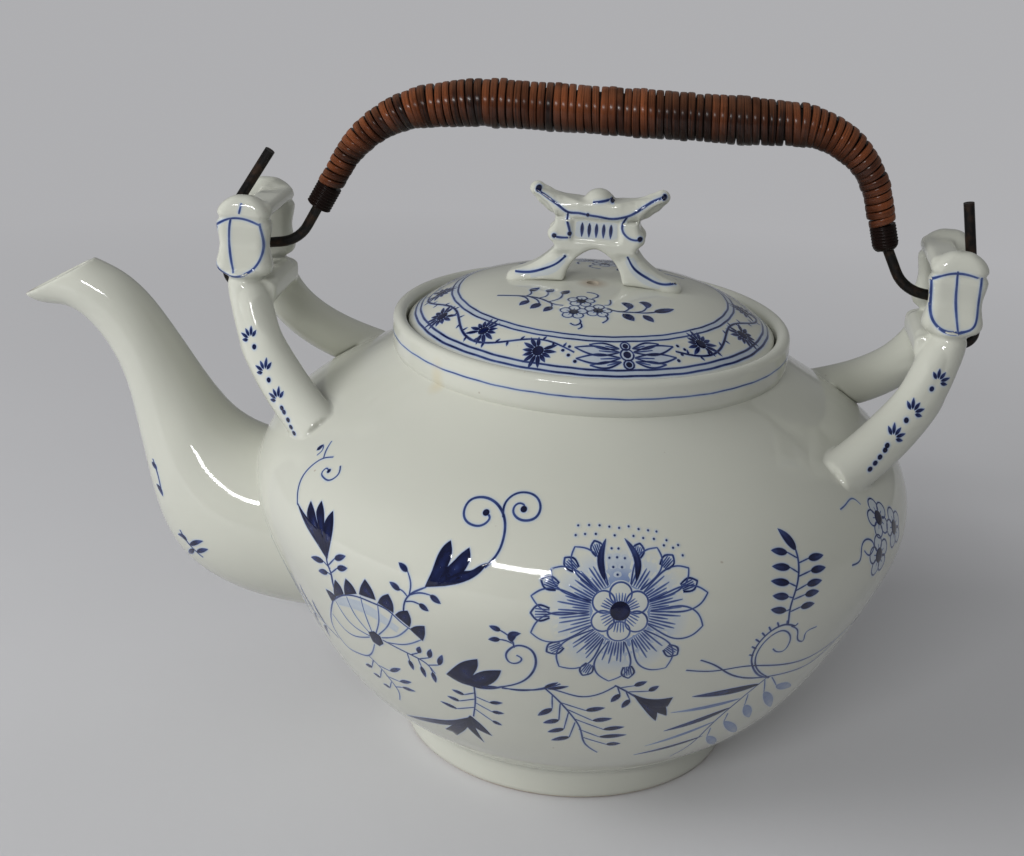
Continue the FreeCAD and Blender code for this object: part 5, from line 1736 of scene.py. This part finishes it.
FLOOR_RADIUS = 6.0
# Distances between which the floor gives way to the even ground tone
GROUND_FADE = (0.20, 0.62)
GROUND_TONE = (0.425, 0.425, 0.438, 1.0)
ROOM_LIGHT = (0.196, 0.198, 0.200, 1.0)


def make_stage():
    """A wide pale floor that keeps the pot's shadow and fades to an even ground further off."""
    paper = material("pale_paper", Roughness=0.85)
    place = paper.where()
    grain = paper.noise(place, 9.0, 3.0)
    paper.put("Base Color", paper.mixed(grain, (0.615, 0.615, 0.632, 1.0), (0.640, 0.640, 0.656, 1.0)))
    paper.put("Normal", paper.bump(paper.noise(place, 260.0, 3.0), 0.10, 0.0004))
    ground = paper.node("ShaderNodeEmission", {}, {"Color": GROUND_TONE})
    far = paper.between(paper.distance(place, (0.0, 0.0, 0.0)), *GROUND_FADE)
    seen = paper.node("ShaderNodeLightPath", {}, {}, "Is Camera Ray")
    shown = {0: far * seen, 1: Value(paper, paper.shader.outputs[0]), 2: ground}
    surface = paper.tree.nodes["Material Output"].inputs["Surface"]
    paper.feed(surface, paper.node("ShaderNodeMixShader", {}, shown))
    work = bmesh.new()
    bmesh.ops.create_circle(work, cap_ends=True, segments=96, radius=FLOOR_RADIUS)
    mesh = worked_mesh("pale_floor", work)
    coat(mesh, paper)
    stage = bpy.data.objects.new("pale_floor", mesh)
    bpy.context.scene.collection.objects.link(stage)


def add_lamp(name, place, aim, width, height, power, shows):
    """A flat lamp turned to its aim, which shows in the glaze or doesn't."""
    lamp = bpy.data.lights.new(name, "AREA")
    lamp.shape = "RECTANGLE"
    lamp.size, lamp.size_y = width, height
    lamp.energy = power
    holder = bpy.data.objects.new(name, lamp)
    holder.location = place
    holder.visible_glossy = shows
    holder.rotation_euler = (Vector(aim) - Vector(place)).to_track_quat("-Z", "Y").to_euler()
    bpy.context.scene.collection.objects.link(holder)


def light_the_room():
    """An even room, a soft window at the left, some light from behind and a bright window in front."""
    world = bpy.data.worlds.new("room")
    sky = Finish(world, "Background", Strength=1.0)
    seen = sky.node("ShaderNodeLightPath", {}, {}, "Is Camera Ray")
    sky.put("Color", sky.mixed(seen, ROOM_LIGHT, GROUND_TONE))
    bpy.context.scene.world = world
    add_lamp("window_left", (-1.00, -0.46, 0.60), (-0.02, 0.0, 0.05), 0.8, 0.7, 9.7, False)
    add_lamp("room_behind", (0.75, 1.10, 0.75), (0.0, 0.0, 0.08), 0.9, 0.7, 3.2, False)
    add_lamp("window_front", (-0.32, -1.27, 0.83), (0.0, 0.0, 0.08), 0.48, 0.115, 6.0, True)


CAMERA_PLACE = (0.0250, -0.4089, 0.24855)
CAMERA_ANGLES = (-6.285, 21.3325, 2.9775)
CAMERA_LENS = 55.33


def set_camera():
    """A camera above the front, turned by its yaw, pitch and roll in degrees."""
    yaw, pitch, roll = (math.radians(angle) for angle in CAMERA_ANGLES)
    ahead = Vector((math.sin(yaw) * math.cos(pitch), math.cos(yaw) * math.cos(pitch), -math.sin(pitch)))
    level = Vector((math.cos(yaw), -math.sin(yaw), 0.0))
    rise = level.cross(ahead)
    right = math.cos(roll) * level + math.sin(roll) * rise
    top = math.cos(roll) * rise - math.sin(roll) * level
    lens = bpy.data.cameras.new("camera")
    lens.lens = CAMERA_LENS
    lens.sensor_width = 36.0
    camera = bpy.data.objects.new("camera", lens)
    turn = Matrix((right, top, -ahead)).transposed().to_4x4()
    camera.matrix_world = Matrix.Translation(CAMERA_PLACE) @ turn
    bpy.context.scene.collection.objects.link(camera)
    bpy.context.scene.camera = camera


glaze = porcelain_glaze()
iron = forged_iron()
cane = lacquered_cane("lacquered_cane", CANE_PALE, CANE_DEEP, 0.60)
thread = lacquered_cane("dark_thread", THREAD_PALE, THREAD_DEEP, 0.20)

make_pot(glaze)
make_lid(glaze)
spout = make_spout(glaze)
lugs = {side: make_lug(side, glaze) for side in ("left", "right")}
finial = make_finial(glaze)
make_cane(cane)
make_binding("left", thread)
make_binding("right", thread)
for name, finish in (("bail_wire", iron), ("grip_core", dark_core())):
    coat(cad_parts[name].data, finish)

brush_body(0.0, "body_flowers_front", glaze)
brush_body(math.pi, "body_flowers_back", glaze)
brush_collar(glaze)
brush_lid(glaze)
brush_finial(finial, glaze)
brush_lug(lugs["left"], LUG_SPOTS_LEFT, LUG_LINES_LEFT, "lug_marks_left", glaze)
brush_lug(lugs["right"], LUG_SPOTS_RIGHT, LUG_LINES_RIGHT, "lug_marks_right", glaze)
brush_spout(spout, glaze)

make_stage()
light_the_room()
set_camera()
bpy.context.scene.view_settings.view_transform = "Standard"
